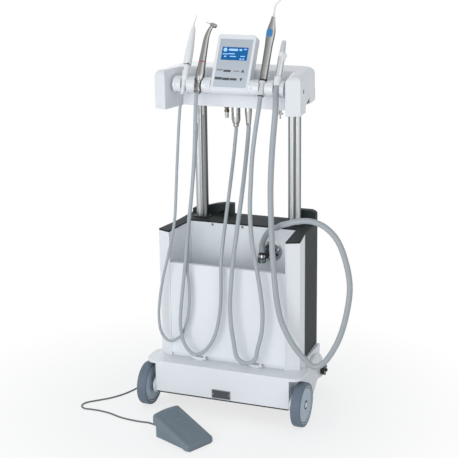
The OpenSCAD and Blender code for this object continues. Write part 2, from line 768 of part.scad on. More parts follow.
// the compressor's motor lies across the base, with a finned cylinder head at each end
comp_room = base_top - guard_t - base_low;
comp_d = comp_room - 13;
comp_z = base_low + comp_room / 2 - 1.5;
comp_y = base_rear - 152;
comp_fin_x = 85;
comp_fin_w = 30;
comp_foot_x = 45;
module compressor() {
    color("gray") {
        translate([0, comp_y, comp_z]) rod_x(comp_d, -comp_fin_x + comp_fin_w / 2, comp_fin_x - comp_fin_w / 2);
        for (s = sides) {
            translate([s * comp_fin_x, comp_y, comp_z]) cube([comp_fin_w, comp_d - 4, comp_d], center = true);
            translate([s * comp_fin_x, comp_y, comp_z])
                cube([comp_fin_w / 2, comp_d + 10, comp_d - 14], center = true);
            box([s * comp_foot_x - 12, comp_y - 40, base_low],
                [s * comp_foot_x + 12, comp_y + 40, comp_z - comp_d / 2 + 9]);
        }
    }
}
pump_d = rear_y - recess_y - 18;
pump_low_h = 110;
pump_high_h = 46;
pipe_d = 14;
module suction_pump() {
    translate([-pump_d / 2 - 10, (recess_y + rear_y) / 2, base_top]) color("gray") {
        cylinder(d = pump_d, h = pump_low_h / 9);
        cylinder(d = pump_d - 10, h = pump_low_h);
        translate([0, 0, pump_low_h]) cylinder(d = pump_d, h = pump_high_h);
        translate([0, -pump_d / 2 + 8, pump_low_h + pump_high_h / 2]) rotate([0, 90, 0])
            cylinder(d = pipe_d, h = 4 * pipe_d);
    }
}
module bottle(d, h, w) {
    rotate_extrude($fn = 64) difference() {
        union() {
            square([d / 2, h * 0.78]);
            translate([0, h * 0.78]) polygon([[0, 0], [d / 2, 0], [d / 4, h * 0.1], [d / 4, h * 0.16], [0, h * 0.16]]);
        }
        translate([-cut, w]) square([d / 2 - w + cut, h * 0.78 - 2 * w]);
        translate([-cut, h * 0.78 - 2 * w]) polygon([[0, 0], [d / 2 - w + cut, 0], [d / 4 - w + cut, h * 0.1 + w],
            [d / 4 - w + cut, h], [0, h]]);
    }
    translate([0, 0, h * 0.94]) cylinder(d = d * 0.58, h = h * 0.08);
}
jar_d = 92;
jar_h = flap_top - panel_low - 92;
jar_x = 76.5 - recess_w / 2;
jar_y = (cheek_in_y + recess_y) / 2 + 2;
bottle_d = 84;
bottle_h = jar_h + 15;
bottle_x = recess_w / 2 - 101.5;
bottle_wall = 2.5;
module waste_jar() {
    color("gainsboro") translate([jar_x, jar_y, panel_low + panel_t]) bottle(jar_d, jar_h, bottle_wall);
}
module water_bottle() {
    color("lightblue") translate([bottle_x, jar_y - 5, panel_low + panel_t]) bottle(bottle_d, bottle_h, bottle_wall);
}
supply_x = 20;
supply_y = recess_y + 13;
supply_h = 190;
module power_supply() {
    color("silver") difference() {
        box([supply_x, supply_y, base_top], [column_x - 37, rear_y - 21, base_top + supply_h]);
        for (i = [0:6]) box([supply_x + 10 * (i + 1), supply_y - cut, base_top + supply_h * 0.58],
            [supply_x + 10 * (i + 1) + 4, supply_y + 5, base_top + supply_h * 0.9]);
    }
}
inlet_x = 60;
inlet_z = panel_low + 89;
inlet_w = 30;
inlet_h = 50;
pedal_socket_x = -120;
pedal_socket_z = base_low + 46;
pedal_socket_d = 18;
rocker_w = 13;
rocker_z = inlet_z + 14;
module rear_sockets() {
    color("black") {
        // mains inlet with the seat of the rocker switch above it
        difference() {
            union() {
                box([inlet_x - inlet_w / 2 - 4, rear_y, inlet_z - inlet_h / 2 - 4],
                    [inlet_x + inlet_w / 2 + 4, rear_y + 2, inlet_z + inlet_h / 2 + 4]);
                box([inlet_x - inlet_w / 2 + gap / 3, rear_y - 18, inlet_z - inlet_h / 2 + gap / 3],
                    [inlet_x + inlet_w / 2 - gap / 3, rear_y, inlet_z + inlet_h / 2 - gap / 3]);
            }
            box([inlet_x - 12, rear_y - 14, inlet_z - 21], [inlet_x + 12, rear_y + 3, inlet_z - 4]);
            box([inlet_x - 11, rear_y - 12, rocker_z - rocker_w / 2 - gap],
                [inlet_x + 11, rear_y + 3, rocker_z + rocker_w / 2 + gap]);
            translate([0, rear_y - 3, rocker_z]) rod_x(rocker_pin_d + 2 * run, inlet_x - 12.5, inlet_x + 12.5);
        }
        for (x = [-7, 0, 7]) box([inlet_x + x - 1, rear_y - 15, inlet_z - 15],
            [inlet_x + x + 1, rear_y - 3, inlet_z - 10]);
        // socket of the pedal's plug
        translate([pedal_socket_x, base_rear, pedal_socket_z]) rotate([-90, 0, 0]) difference() {
            union() {
                cylinder(d = pedal_socket_d + 6, h = 3);
                translate([0, 0, -14]) cylinder(d = pedal_socket_d - gap / 3, h = 14);
            }
            translate([0, 0, -11]) cylinder(d = plug_d + 0.2, h = 20);
        }
    }
}
plug_d = 12;
module power_switch() {
    // rocker that turns about a pin across its middle
    color("dimgray") translate([inlet_x, rear_y - 3, rocker_z]) {
        rotate([0, 90, 0]) translate([0, 0, -10]) linear_extrude(20) polygon([[-rocker_w / 2 + 0.6, -4],
            [rocker_w / 2 - 0.6, -4], [rocker_w / 2 - 0.6, 5], [0, 3], [-rocker_w / 2 + 0.6, 3]]);
        rod_x(rocker_pin_d, -12, 12);
    }
}
rocker_pin_d = 2.4;

// ---- lifting columns, sleeves and gas springs ----

column_high = head_low + under_up + under_t + 30;
module column_section(more) {
    for (e = sides) translate([e * lobe_pitch / 2, 0]) circle(d = lobe_d + 2 * more);
    square([lobe_pitch, lobe_d * 0.55 + 2 * more], center = true);
}
bore_d = lobe_d - 2 * column_wall;
plug_z = column_low + travel + 55;
module lift_columns() {
    color("silver") for (s = sides) translate([s * column_x, column_y, column_low]) difference() {
        linear_extrude(column_high - column_low) column_section(0);
        for (e = sides) translate([e * lobe_pitch / 2, 0, -cut])
            cylinder(d = bore_d, h = column_high - column_low + 2 * cut);
    }
}
sleeve_w = lobe_pitch + lobe_d + 2 * (slide_gap + sleeve_wall);
sleeve_d = lobe_d + 2 * (slide_gap + sleeve_wall);
collar_out = 1;
module sleeve_body(s, more) {
    box([s * column_x - sleeve_w / 2 - more, column_y - sleeve_d / 2 - more, base_low - more],
        [s * column_x + sleeve_w / 2 + more, column_y + sleeve_d / 2 + more, body_top + more]);
}
module column_sleeves() {
    color("black") for (s = sides) difference() {
        union() {
            sleeve_body(s, 0);
            box([s * column_x - sleeve_w / 2 - collar_out, column_y - sleeve_d / 2 - collar_out, body_top],
                [s * column_x + sleeve_w / 2 + collar_out, column_y + sleeve_d / 2 + collar_out, body_top + collar_h]);
        }
        translate([s * column_x, column_y, base_low + 5]) linear_extrude(body_top) column_section(slide_gap);
    }
}
strut_top = column_low + 22;
rod_low = strut_top - 20;
// each gas spring stands in the outer lobe of its column
strut_x = column_x + lobe_pitch / 2;
module gas_spring_cylinders() {
    color("dimgray") for (s = sides) translate([s * strut_x, column_y, base_low + 5]) difference() {
        cylinder(d = strut_d, h = strut_top - base_low - 5);
        translate([0, 0, 4]) cylinder(d = rod_d + 2 * slide_gap, h = strut_top);
    }
}
module gas_spring_rods() {
    color("silver") for (s = sides) translate([s * strut_x, column_y, 0]) {
        translate([0, 0, rod_low]) cylinder(d = rod_d, h = plug_z - rod_low);
        translate([0, 0, plug_z]) cylinder(d = bore_d, h = 12);
    }
}

// ---- head ----

function head_half() = concat(
    [[band_w / 2, band_y], [cheek_in_w / 2, cheek_in_y], [cheek_out_w / 2, cheek_out_y]],
    arc([head_rear_w / 2 - head_corner_r, head_rear_y - head_corner_r], head_corner_r, 0, 90, 8));
head_plan = concat(head_half(), mirror_x(head_half()));
module head_shell() {
    color("white") difference() {
        rounded_top(head_plan, head_low, head_top, head_edge_r);
        prism(inset(head_plan, head_wall), head_low - cut, head_top - head_edge_r);
        prism(inset(head_plan, head_wall + head_edge_r * 0.3), head_low, head_top - head_edge_r * 0.45);
        prism(inset(head_plan, head_wall + head_edge_r * 0.6), head_low, head_top - head_wall);
        // raised lower edge behind the cross band
        slab_x([[band_y + 30, head_low - cut], [band_y + 30, head_low + rear_up], [head_rear_y + cut, head_low + rear_up],
            [head_rear_y + cut, head_low - cut]], -big, big);
        // step and triangular notch in both side walls
        for (s = sides) translate([s * (head_rear_w / 2 + 8), 0, 0])
            slab_x([[band_y - 14, head_low - cut], [band_y - 14, head_low + rear_up + 3], [band_y + 29, head_low + 34],
                [band_y + 31, head_low + rear_up], [band_y + 31, head_low - cut]], -22, 22);
        translate([0, shaft_y, shaft_z]) rod_x(shaft_d + 2 * run, -big, big);
    }
}
under_low = head_low + under_up;
rear_up = 16;
module head_underplate() {
    p = inset(head_plan, head_wall + 0.1);
    color("black") difference() {
        union() {
            prism(p, under_low, under_low + under_t);
            // clamp blocks round the tops of the columns
            for (s = sides) box([s * column_x - 25, column_y - 16, under_low + under_t],
                [s * column_x + 25, column_y + 16, column_high]);
        }
        for (s = sides) translate([s * column_x, column_y, under_low - cut])
            linear_extrude(column_high) column_section(0.1);
    }
}

// ---- bar with holders and display ----

// middle of the shaft, square behind the bar's middle
shaft_y = bar_y + shaft_back * cos(tilt);
shaft_z = bar_z - shaft_back * sin(tilt);
shaft_end = arm_x + arm_end;
module bar_shaft() {
    color("silver") translate([0, shaft_y, shaft_z]) {
        rod_x(shaft_d, -shaft_end, shaft_end);
        // flanges inside the arms
        for (s = sides) translate([s * shaft_end, 0, 0]) rotate([0, s * 90, 0]) cylinder(d = shaft_d + 12, h = 4);
    }
}
// places a piece with +Z along the tilted instruments, X along the bar
module tilted(x, y, z) {
    translate([x, y, z]) rotate([-tilt, 0, 0]) children();
}
tool_y = bar_y - slot_front;
module on_bar(x) {
    tilted(x, tool_y, bar_z) children();
}
display_left = display_x - display_w / 2;
display_right = display_x + display_w / 2;
holder_gap = 0.5;
// sleeve radius and seat height of each instrument: [place, sleeve r, seat r, seat height]
scaler_seat = [scaler_x, 8, 9.5, 14];
motor_seat = [motor_x, 10, motor_d / 2 * 0.9, 14];
syringe_seat = [syringe_x, 8, syringe_d / 2 + 0.5, 16];
suction_seat = [suction_x, hose4_d / 2 + 0.5, suction_d / 2 + 1.5, 11];
module slot(seat) {
    r = seat[1] + slot_gap;
    q = seat[2] + slot_gap;
    on_bar(seat[0]) {
        translate([0, 0, -60]) cylinder(r = r, h = 100);
        translate([-r, -60, -60]) cube([2 * r, 60, 100]);
        translate([0, 0, seat[3]]) cylinder(r = q, h = 40);
        translate([-q, -60, seat[3]]) cube([2 * q, 60, 40]);
    }
}
module holder(x0, x1, seats) {
    difference() {
        translate([0, bar_y, bar_z]) rod_x(bar_d, x0, x1);
        translate([0, shaft_y, shaft_z]) rod_x(shaft_d, -big, big);
        for (q = seats) slot(q);
        // parting groove of the two clamp halves
        tilted((x0 + x1) / 2, bar_y, bar_z) difference() {
            translate([-(x1 - x0) / 2 - cut, -bar_d, -0.3]) cube([x1 - x0 + 2 * cut, bar_d, 0.6]);
            rod_x(bar_d - 2, -big, big);
        }
        // blind holes of the set screws
        for (x = [x0 + 8, x1 - 8]) tilted(x, bar_y, bar_z) translate([0, 0, -8]) rotate([90, 0, 0])
            translate([0, 0, bar_d / 2 - 5]) cylinder(d = 4, h = 10);
    }
}
module instrument_holders() {
    color("white") {
        holder(-holder_end, display_left - holder_gap, [scaler_seat, motor_seat]);
        holder(display_right + holder_gap, holder_end, [syringe_seat, suction_seat]);
    }
}
foil_low = -7;
lcd_low = 69;
corner_r = 8;
module display_housing() {
    color("white") difference() {
        tilted(display_x, bar_y, bar_z) difference() {
            // a flat front down to the bar's underside, which stays round
            translate([-display_w / 2, 0, 0]) rotate([90, 0, 90]) linear_extrude(display_w) intersection() {
                union() {
                    circle(d = bar_d);
                    translate([-display_front, 0]) square([display_t, display_h]);
                }
                translate([-display_front, -bar_d]) square([big, big]);
            }
            // rounded upper corners
            for (s = sides) translate([s * (display_w / 2 - corner_r), big / 2, display_h - corner_r])
                rotate([90, 0, 0]) linear_extrude(big) difference() {
                    translate([s > 0 ? 0 : -corner_r - cut, 0]) square(corner_r + cut);
                    circle(corner_r);
                }
            // shallow seat of the keypad foil
            translate([-foil_w / 2 - 0.2, -display_front - cut, foil_low - 0.2])
                cube([foil_w + 0.4, foil_t + cut, foil_h + 0.4]);
        }
        translate([0, shaft_y, shaft_z]) rod_x(shaft_d + 2 * run, -big, big);
    }
}
module keypad_foil() {
    color("lightgray") tilted(display_x, bar_y, bar_z) difference() {
        translate([-foil_w / 2, -display_front, foil_low]) cube([foil_w, foil_t, foil_h]);
        translate([-lcd_w / 2 - 0.1, -display_front - cut, lcd_low - 0.1])
            cube([lcd_w + 0.2, foil_t + 2 * cut, lcd_h + 0.2]);
    }
}
module display_window() {
    color("royalblue") tilted(display_x, bar_y, bar_z)
        translate([-lcd_w / 2, -display_front + 0.2, lcd_low]) cube([lcd_w, foil_t - 0.2, lcd_h]);
}

// ---- hose couplings and the spray tap under the head ----

coupling1_x = scaler_x;
coupling2_x = -10;
coupling3_x = 27;
water_x = -37;
stub_x = coupling1_x + 19;
tap_x = 120;
sleeve1_low = under_low - 72;
sleeve2_low = under_low - 74;
sleeve3_low = under_low - 68;
stub_low = under_low - 48;
water_low = under_low - 52;
module hose_couplings() {
    hang = under_low;
    color("white") translate([coupling1_x, coupling_y, sleeve1_low]) {
        cylinder(d = 17, h = hang - sleeve1_low);
        translate([0, 0, 6]) cylinder(d = 19, h = 3);
    }
    color("silver") {
        translate([coupling2_x, coupling_y, 0]) {
            translate([0, 0, sleeve2_low + 19]) cylinder(d = 25, h = hang - sleeve2_low - 19);
            translate([0, 0, sleeve2_low + 6]) cylinder(d1 = 16, d2 = 25, h = 13);
            translate([0, 0, sleeve2_low]) cylinder(d = 16, h = 6);
        }
        translate([coupling3_x, coupling_y, 0]) {
            translate([0, 0, sleeve3_low + 37]) cylinder(d = 20, h = hang - sleeve3_low - 37);
            translate([0, 0, sleeve3_low]) cylinder(d1 = 14, d2 = 20, h = 37);
        }
        translate([stub_x, coupling_y, stub_low]) cylinder(d = 10, h = hang - stub_low);
        translate([water_x, coupling_y, water_low + 16]) cylinder(d = 14, h = hang - water_low - 16);
        translate([water_x, coupling_y, water_low]) cylinder(d = 11, h = 18);
    }
    color("silver") translate([tap_x, coupling_y, tap_z]) cylinder(d = 9, h = hang - tap_z);
}
tap_z = under_low - 26;
module spray_tap() {
    color("gray") translate([tap_x, coupling_y, tap_z - gap]) {
        translate([0, 0, -8]) cylinder(d = 8, h = 8);
        translate([-9, -3, -8]) cube([18, 6, 5]);
        translate([0, 0, -20]) cylinder(d = 5, h = 13);
    }
}

// ---- instruments ----
// profiles are [radius, height along the axis], height 0 at the bar's middle

module turned(p) {
    rotate_extrude($fn = 48) polygon(p);
}
scaler_low = -26;
scaler_high = 168;
module scaler_handpiece() {
    r = scaler_d / 2;
    s = scaler_seat;
    color("white") on_bar(scaler_x) difference() {
        turned([[0, scaler_low], [hose1_d / 2 + 0.8, scaler_low], [hose1_d / 2 + 1.5, -10], [s[1] - 0.6, s[3]],
            [s[2], s[3]], [s[2], 30], [r - 1.2, 58], [r - 1.2, 61], [r, 63], [r, 90], [r - 1.6, 118],
            [r - 4, 150], [5, scaler_high], [0, scaler_high]]);
        translate([0, 0, scaler_high - 12]) cylinder(d = 4.2, h = 13);
    }
}
module scaler_tip() {
    color("silver") on_bar(scaler_x) {
        translate([0, 0, scaler_high - 12]) cylinder(d = 4, h = 16);
        translate([0, 0, scaler_high + 4]) cylinder(d1 = 4, d2 = 2.2, h = 14);
        translate([0, 0, scaler_high + 18]) rotate([0, 14, 0]) cylinder(d1 = 2.2, d2 = 1.6, h = 9);
        translate([sin(14) * 9, 0, scaler_high + 18 + cos(14) * 9]) rotate([0, -22, 0])
            cylinder(d1 = 1.6, d2 = 0.6, h = 10);
    }
}
motor_low = -20;
motor_high = 68;
nose_d = 7;
module micromotor() {
    r = motor_d / 2;
    s = motor_seat;
    color("silver") on_bar(motor_x) turned([[0, motor_low], [hose2_d / 2 + 3.5, motor_low],
        [s[1] - 0.4, motor_low + 3], [s[1] - 0.4, -12], [6, -2], [5.4, s[3] - 3], [8, s[3] - 0.01], [s[2], s[3]],
        [s[2], 24], [r, 34], [r, 38], [r - 2.2, 56], [r - 2.6, motor_high], [nose_d / 2, motor_high],
        [nose_d / 2, motor_high + 18], [0, motor_high + 18]]);
}
// the neck of the contra-angle leans over to the head
angle_high = 176;
angle_x = 14;
angle_lean = 20;
head_d = 12;
module contra_angle() {
    r = motor_d / 2 - 2.6;
    color("silver") on_bar(motor_x) difference() {
        union() {
            turned([[nose_d / 2 + run, motor_high + gap], [r, motor_high + gap], [r - 0.6, motor_high + 4],
                [r - 1.2, 104], [r - 2, 128], [r - 4.5, 140], [0, 140], [0, motor_high + 19],
                [nose_d / 2 + run, motor_high + 19]]);
            translate([0, 0, 134]) rotate([0, atan2(angle_x, angle_high - 134), 0])
                cylinder(r1 = r - 3.2, r2 = 5, h = norm([angle_x, angle_high - 134]) - 3);
            translate([angle_x, 0, angle_high]) rotate([0, -90 + angle_lean, 0])
                translate([0, 0, -8]) cylinder(d = head_d, h = 16);
            translate([angle_x, 0, angle_high]) rotate([0, -90 + angle_lean, 0])
                translate([0, 0, -11]) cylinder(d1 = head_d - 4, d2 = head_d, h = 3);
        }
        translate([angle_x, 0, angle_high]) rotate([0, -90 + angle_lean, 0]) cylinder(d = bur_d + 2 * run, h = 20);
    }
}
bur_d = 2.4;
module bur() {
    color("silver") on_bar(motor_x) translate([angle_x, 0, angle_high]) rotate([0, -90 + angle_lean, 0]) {
        translate([0, 0, gap]) cylinder(d = bur_d, h = 16);
        translate([0, 0, 14]) cylinder(d1 = 1.4, d2 = 1, h = 10);
    }
}
syringe_low = -20;
syringe_high = 204;
button_z = 155;
button_out = syringe_d / 2 + 0.4;
module syringe_body() {
    r = syringe_d / 2;
    s = syringe_seat;
    color("gray") on_bar(syringe_x) difference() {
        union() {
            turned([[0, syringe_low], [hose3_d / 2 + 1, syringe_low], [s[1] - 0.3, -14], [s[1] - 0.3, s[3]],
                [s[2] - 0.3, s[3]], [s[2] - 0.3, 22], [r - 0.8, 23], [r - 0.8, 26], [r, 27], [r, 120],
                [r + 1.6, 146], [r + 1.6, 166], [5.5, 196], [5.5, syringe_high], [0, syringe_high]]);
            translate([0, 0, button_z]) rotate([90, 0, 0]) cylinder(d = button_d + 5, h = button_out);
        }
        translate([0, 0, button_z]) rotate([90, 0, 0])
            translate([0, 0, button_out - 5]) cylinder(d = button_d + 2 * run + 0.2, h = 20);
        translate([0, 0, syringe_high - 10]) cylinder(d = 6.4, h = 12);
    }
}
tip_bend_r = 26;
tip_bend = 62;
tip_line = concat([for (i = [0:6]) let (a = tip_bend * i / 6)
    [tip_bend_r * (1 - cos(a)), 0, syringe_high + 23 + tip_bend_r * sin(a)]],
    [[tip_bend_r * (1 - cos(tip_bend)) + 6 * sin(tip_bend), 0,
        syringe_high + 23 + tip_bend_r * sin(tip_bend) + 6 * cos(tip_bend)]]);
module syringe_tip() {
    // clear nozzle that bends towards the right
    color("white", 0.6) on_bar(syringe_x) {
        translate([0, 0, syringe_high - 10]) cylinder(d = 6, h = 10);
        translate([0, 0, syringe_high]) cylinder(d = 7.4, h = 3);
        translate([0, 0, syringe_high + 3]) cylinder(d1 = 6, d2 = 5, h = 23);
        tube(tip_line, 4.2, 10, [0, 1, 0]);
    }
}
module syringe_button() {
    color("steelblue") on_bar(syringe_x) translate([0, 0, button_z]) rotate([90, 0, 0])
        translate([0, 0, button_out - 5 + button_travel + gap]) {
            cylinder(d = button_d, h = 5.5);
            translate([0, 0, 5.5]) cylinder(d1 = button_d, d2 = button_d - 3, h = 1);
        }
}
suction_low = 11;
suction_high = 104;
suction_adapt = 138;
slider_z = 92;
module suction_handpiece() {
    r = suction_d / 2;
    s = suction_seat;
    color("whitesmoke") on_bar(suction_x) difference() {
        union() {
            turned([[0, suction_low], [s[2], suction_low], [s[2], 32], [r, 36], [r, suction_high],
                [r - 2, suction_high + 2], [0, suction_high + 2]]);
            turned(concat([[0, suction_high], [r - 1, suction_high]],
                [for (z = [suction_high + 4:5:suction_adapt - 4])
                    each [[r - 1, z], [r - 2, z], [r - 2, z + 2], [r - 1.4, z + 2]]],
                [[6, suction_adapt], [0, suction_adapt]]));
            translate([0, -4, slider_z - slider_travel / 2 - 7]) cube([r + 2, 8, slider_travel + 14]);
        }
        translate([0, 0, suction_low + 30]) cylinder(d = 9, h = suction_adapt);
        translate([r + 0.4, -3 - gap, slider_z - slider_travel / 2 - 5]) cube([4, 6 + 2 * gap, slider_travel + 10]);
    }
}
module suction_slider() {
    r = suction_d / 2;
    color("white") on_bar(suction_x)
        translate([r + 0.4 + gap, -3, slider_z + slider_travel / 2 - 4.5]) {
            cube([2.2, 6, 9]);
            translate([2, 0.5, 2]) cube([2.6, 5, 5]);
        }
}

// ---- hoses: routes chosen by hand, from the instrument down, round and up ----

function tool_end(x, w) = [x, tool_y + w * sin(tilt), bar_z + w * cos(tilt)];
route1 = [tool_end(scaler_x, scaler_low - gap / 3), tool_end(scaler_x, scaler_low - 12), [-131, 30, 845], [-134, 16, 730],
    [-137, 9, 640], [-142, 6, 560], [-153, 4, 500], [-167, 3, 440], [-182, 2, 380], [-193, 2, 320],
    [-197, 2, 265], [-190, 2, 221], [-167, 4, 198], [-137, 8, 212], [-121, 10, 240], [-109, 11, 290],
    [-105, 11, 350], [-110, 13, 420], [-112, 26, 500], [-114, 56, 585], [-119, 96, 680], [-128, 138, 760],
    [coupling1_x, coupling_y, sleeve1_low - 12], [coupling1_x, coupling_y, sleeve1_low]];
route2 = [tool_end(motor_x, motor_low - gap / 3), tool_end(motor_x, motor_low - 12), [-83, 28, 850], [-83, 16, 750],
    [-89, 8, 647], [-100, 4, 548], [-110, 2, 450], [-119, 0, 370], [-127, -1, 300], [-129, -2, 255],
    [-123, -2, 210], [-108, -2, 182], [-87, -1, 169], [-60, 1, 180], [-35, 4, 214], [-20, 7, 258],
    [-11, 10, 320], [-9, 12, 390], [-9, 14, 440], [-7, 26, 500], [-5, 50, 575], [-6, 84, 650],
    [-10, 124, 725], [-11, 139, 765], [coupling2_x, coupling_y, sleeve2_low - 10], [coupling2_x, coupling_y, sleeve2_low]];
route3 = [tool_end(syringe_x, syringe_low - gap / 3), tool_end(syringe_x, syringe_low - 14), [98, 30, 872], [93, 18, 817],
    [87, 10, 750], [84, 6, 682], [82, 3, 607], [87, 1, 523], [99, 0, 454], [111, -1, 384], [118, -2, 321],
    [116, -4, 263], [104, -6, 210], [99, -7, 185], [87, -7, 171], [70, -8, 166], [53, -8, 171], [41, -8, 186],
    [34, -7, 223], [26, -5, 273], [23, -3, 331], [26, -1, 389], [31, 2, 455], [38, 8, 517], [43, 17, 572],
    [46, 32, 625], [44, 58, 675], [37, 95, 723], [29, 132, 768], [coupling3_x, coupling_y, sleeve3_low - 12],
    [coupling3_x, coupling_y, sleeve3_low]];
route4 = [tool_end(suction_x, suction_low - gap / 3), tool_end(suction_x, suction_low - 20), [145, 33, 875],
    [141, 18, 775], [139, 9, 670], [142, 4, 580], [147, 0, 490], [156, -2, 390], [168, -4, 320],
    [186, -6, 275], [212, -6, 232], [240, -4, 200], [266, -2, 180], [292, 0, 192], [318, 1, 230], [340, 2, 280],
    [356, 3, 345], [363, 5, 415], [352, 7, 480], [328, 8, 540], [292, 10, 575], [252, 10, 588], [214, 11, 584],
    [186, 13, 575], [166, 24, 566], [152, 46, 556], [136, 70, 544], [112, 94, 532], [88, 114, 506],
    [73, 126, 478], [elbow_x, elbow_y, hose4_start + 10], [elbow_x, elbow_y, hose4_start]];
// the curve through a route, with straight first and last stretches, square to what they meet
function hung(p, n) = concat([p[0]], curve([for (i = [1:len(p) - 2]) p[i]], n), [p[len(p) - 1]]);
module hose_scaler() { color("lightgray") tube(hung(route1, 3), hose1_d, 10, [0, 1, 0]); }
module hose_motor() { color("lightgray") tube(hung(route2, 3), hose2_d, 10, [0, 1, 0]); }
module hose_syringe() { color("lightgray") tube(hung(route3, 3), hose3_d, 10, [0, 1, 0]); }
module hose_suction() { color("lightgray") tube(hung(route4, 2), hose4_d, 12, [0.5, 1, 0.2]); }

// ---- pedal ----

// the hinged end is placed so that the pedal reaches as far forward as the knobs reach back
pedal_y = -unit_rear + (pedal_w / 2) * abs(cos(pedal_turn));
pedal_pivot = [8, 8];
module on_pedal() {
    translate([pedal_x, pedal_y, 0]) rotate(pedal_turn) children();
}
pin_d = 5;
// side outline of [length, height] points, extruded over width w
module side_cut(p, w) {
    translate([0, w / 2, 0]) rotate([90, 0, 0]) linear_extrude(w) polygon(p);
}
pedal_all = pedal_len + pedal_over;
pedal_rise = (pedal_high - pedal_low) / pedal_all;
module pedal_cover() {
    color("slategray") on_pedal() difference() {
        union() {
            difference() {
                side_cut([[0, 3], [14, 3], [pedal_all, 40], [pedal_all, pedal_high],
                    [pedal_all - 60, pedal_high - 60 * pedal_rise], [0, pedal_low]], pedal_w);
                side_cut([[pedal_wall, -cut], [pedal_all - pedal_wall, -cut],
                    [pedal_all - pedal_wall, pedal_high - pedal_wall - pedal_rise * pedal_wall],
                    [pedal_wall, pedal_low - pedal_wall]], pedal_w - 2 * pedal_wall);
            }
            // hinge ears inside the skirts
            for (s = sides) translate([pedal_pivot[0], s * (pedal_w / 2 - pedal_wall - 2), pedal_pivot[1]])
                rotate([90, 0, 0]) cylinder(d = pin_d + 4, h = 4.4, center = true);
            // grip ribs across the raised end
            for (i = [0:5]) translate([pedal_all - 22 - i * 9, 0, pedal_low + (pedal_all - 22 - i * 9) * pedal_rise])
                rotate([0, -atan(pedal_rise), 0]) translate([-1.5, -pedal_w / 2 + 14, -1]) cube([3, pedal_w - 28, 1.9]);
        }
        translate([pedal_pivot[0], 0, pedal_pivot[1]]) rotate([90, 0, 0])
            cylinder(d = pin_d + 2 * run, h = pedal_w - 2 * pedal_wall, center = true);
    }
}
foot_w = pedal_w - 2 * pedal_wall - 10;
module pedal_base() {
    w = foot_w;
    color("slategray") on_pedal() {
        difference() {
            side_cut([[3.6, 0], [pedal_len, 0], [pedal_len, 47], [18, 13], [3.6, 12]], w);
            side_cut([[20, -cut], [pedal_len - 3, -cut], [pedal_len - 3, 42], [24, 11]], w - 8);
            translate([pedal_len - 5, 0, gland_z]) rotate([0, 90, 0]) cylinder(d = cable_d + 0.2, h = 10);
        }
        side_cut([[20, 0], [pedal_len - 2, 0], [pedal_len - 2, 3], [20, 3]], w - 4);
        // pivot pin, through the ears of the cover
        translate([pedal_pivot[0], 0, pedal_pivot[1]]) rotate([90, 0, 0])
            cylinder(d = pin_d, h = pedal_w - 2 * pedal_wall - gap, center = true);
        // strain relief of the cable
        translate([pedal_len, 0, gland_z]) rotate([0, 90, 0]) difference() {
            cylinder(d1 = cable_d + 6, d2 = cable_d + 2, h = 14);
            translate([0, 0, -cut]) cylinder(d = cable_d + 0.2, h = 15);
        }
    }
}
gland_z = 14;

// ---- pedal cable: lead, coil, lead and plug ----

function turn_z(p, a) = [p[0] * cos(a) - p[1] * sin(a), p[0] * sin(a) + p[1] * cos(a), p[2]];
function from_pedal(x, y, z) = turn_z([x, y, z], pedal_turn) + [pedal_x, pedal_y, 0];
coil_mid = [-60, 350];
coil_pitch = cable_d * coil_step;
coil_layer = cable_d * 1.13;
coil_low = cable_d * 0.4;
coil_out = coil_r + coil_pitch * coil_turns;
coil_all = 2 * coil_turns + 0.5;
coil_rings = 24;
// radius and height along the coil, t in turns: in, half a turn of climb, and out
function coil_rad(t) = t < coil_turns ? coil_out - coil_pitch * t
    : t < coil_turns + 0.5 ? coil_r : coil_r + coil_pitch * (t - coil_turns - 0.5);
function coil_high(t) = let (k = (t - coil_turns) * 2)
    coil_low + coil_layer * (k <= 0 ? 0 : k >= 1 ? 1 : (1 - cos(180 * k)) / 2);
function coil_at(t) = [coil_mid[0] + coil_rad(t) * cos(90 - 360 * t),
    coil_mid[1] + coil_rad(t) * sin(90 - 360 * t), coil_high(t)];
coil_turned = [for (i = [0:coil_all * coil_rings]) coil_at(i / coil_rings)];
coil_first = unit(coil_turned[0] - coil_turned[1]);
coil_last = unit(coil_turned[len(coil_turned) - 1] - coil_turned[len(coil_turned) - 2]);
coil_start = coil_turned[0] + coil_first * cable_d;
coil_end = coil_turned[len(coil_turned) - 1] + coil_last * cable_d;
coil_line = concat([coil_start], coil_turned, [coil_end]);
function least_gap(c, skip) = min([for (i = [0:len(c) - 1 - skip]) for (j = [i + skip:len(c) - 1])
    norm(c[i] - c[j])]) - cable_d;
echo(coil_least_gap = least_gap(coil_turned, 8));
module above_floor() {
    intersection() {
        children();
        translate([-big * 2, -big * 2, 0]) cube([big * 4, big * 4, big]);
    }
}
module pedal_cable_coil() {
    color("black") above_floor() tube(coil_line, cable_d, 6, [0, 0, 1]);
}
lay = cable_d / 2;
plug_end = base_rear + 34;
lead_in = [from_pedal(pedal_len - 4, 0, gland_z), from_pedal(pedal_len + 14, 0, gland_z),
    from_pedal(pedal_len + 34, 1, 8), [-172, -137, 3.2], [-200, -137, lay], [-233, -135, lay], [-267, -129, lay],
    [-306, -115, lay], [-341, -109, lay], [-370, -109, lay], [-388, -110, lay], [-403, -101, lay], [-408, -84, lay],
    [-400, -66, lay], [-378, -44, lay], [-350, -15, lay], [-326, 25, lay], [-310, 75, lay], [-300, 130, lay],
    [-290, 185, lay], [-274, 240, lay], [-248, 290, lay], [-212, 332, lay], [-170, 364, lay], [-130, 381, lay],
    [coil_start[0] - 25, coil_start[1], lay], [coil_start[0] - 10, coil_start[1], coil_low + 0.2], coil_start];
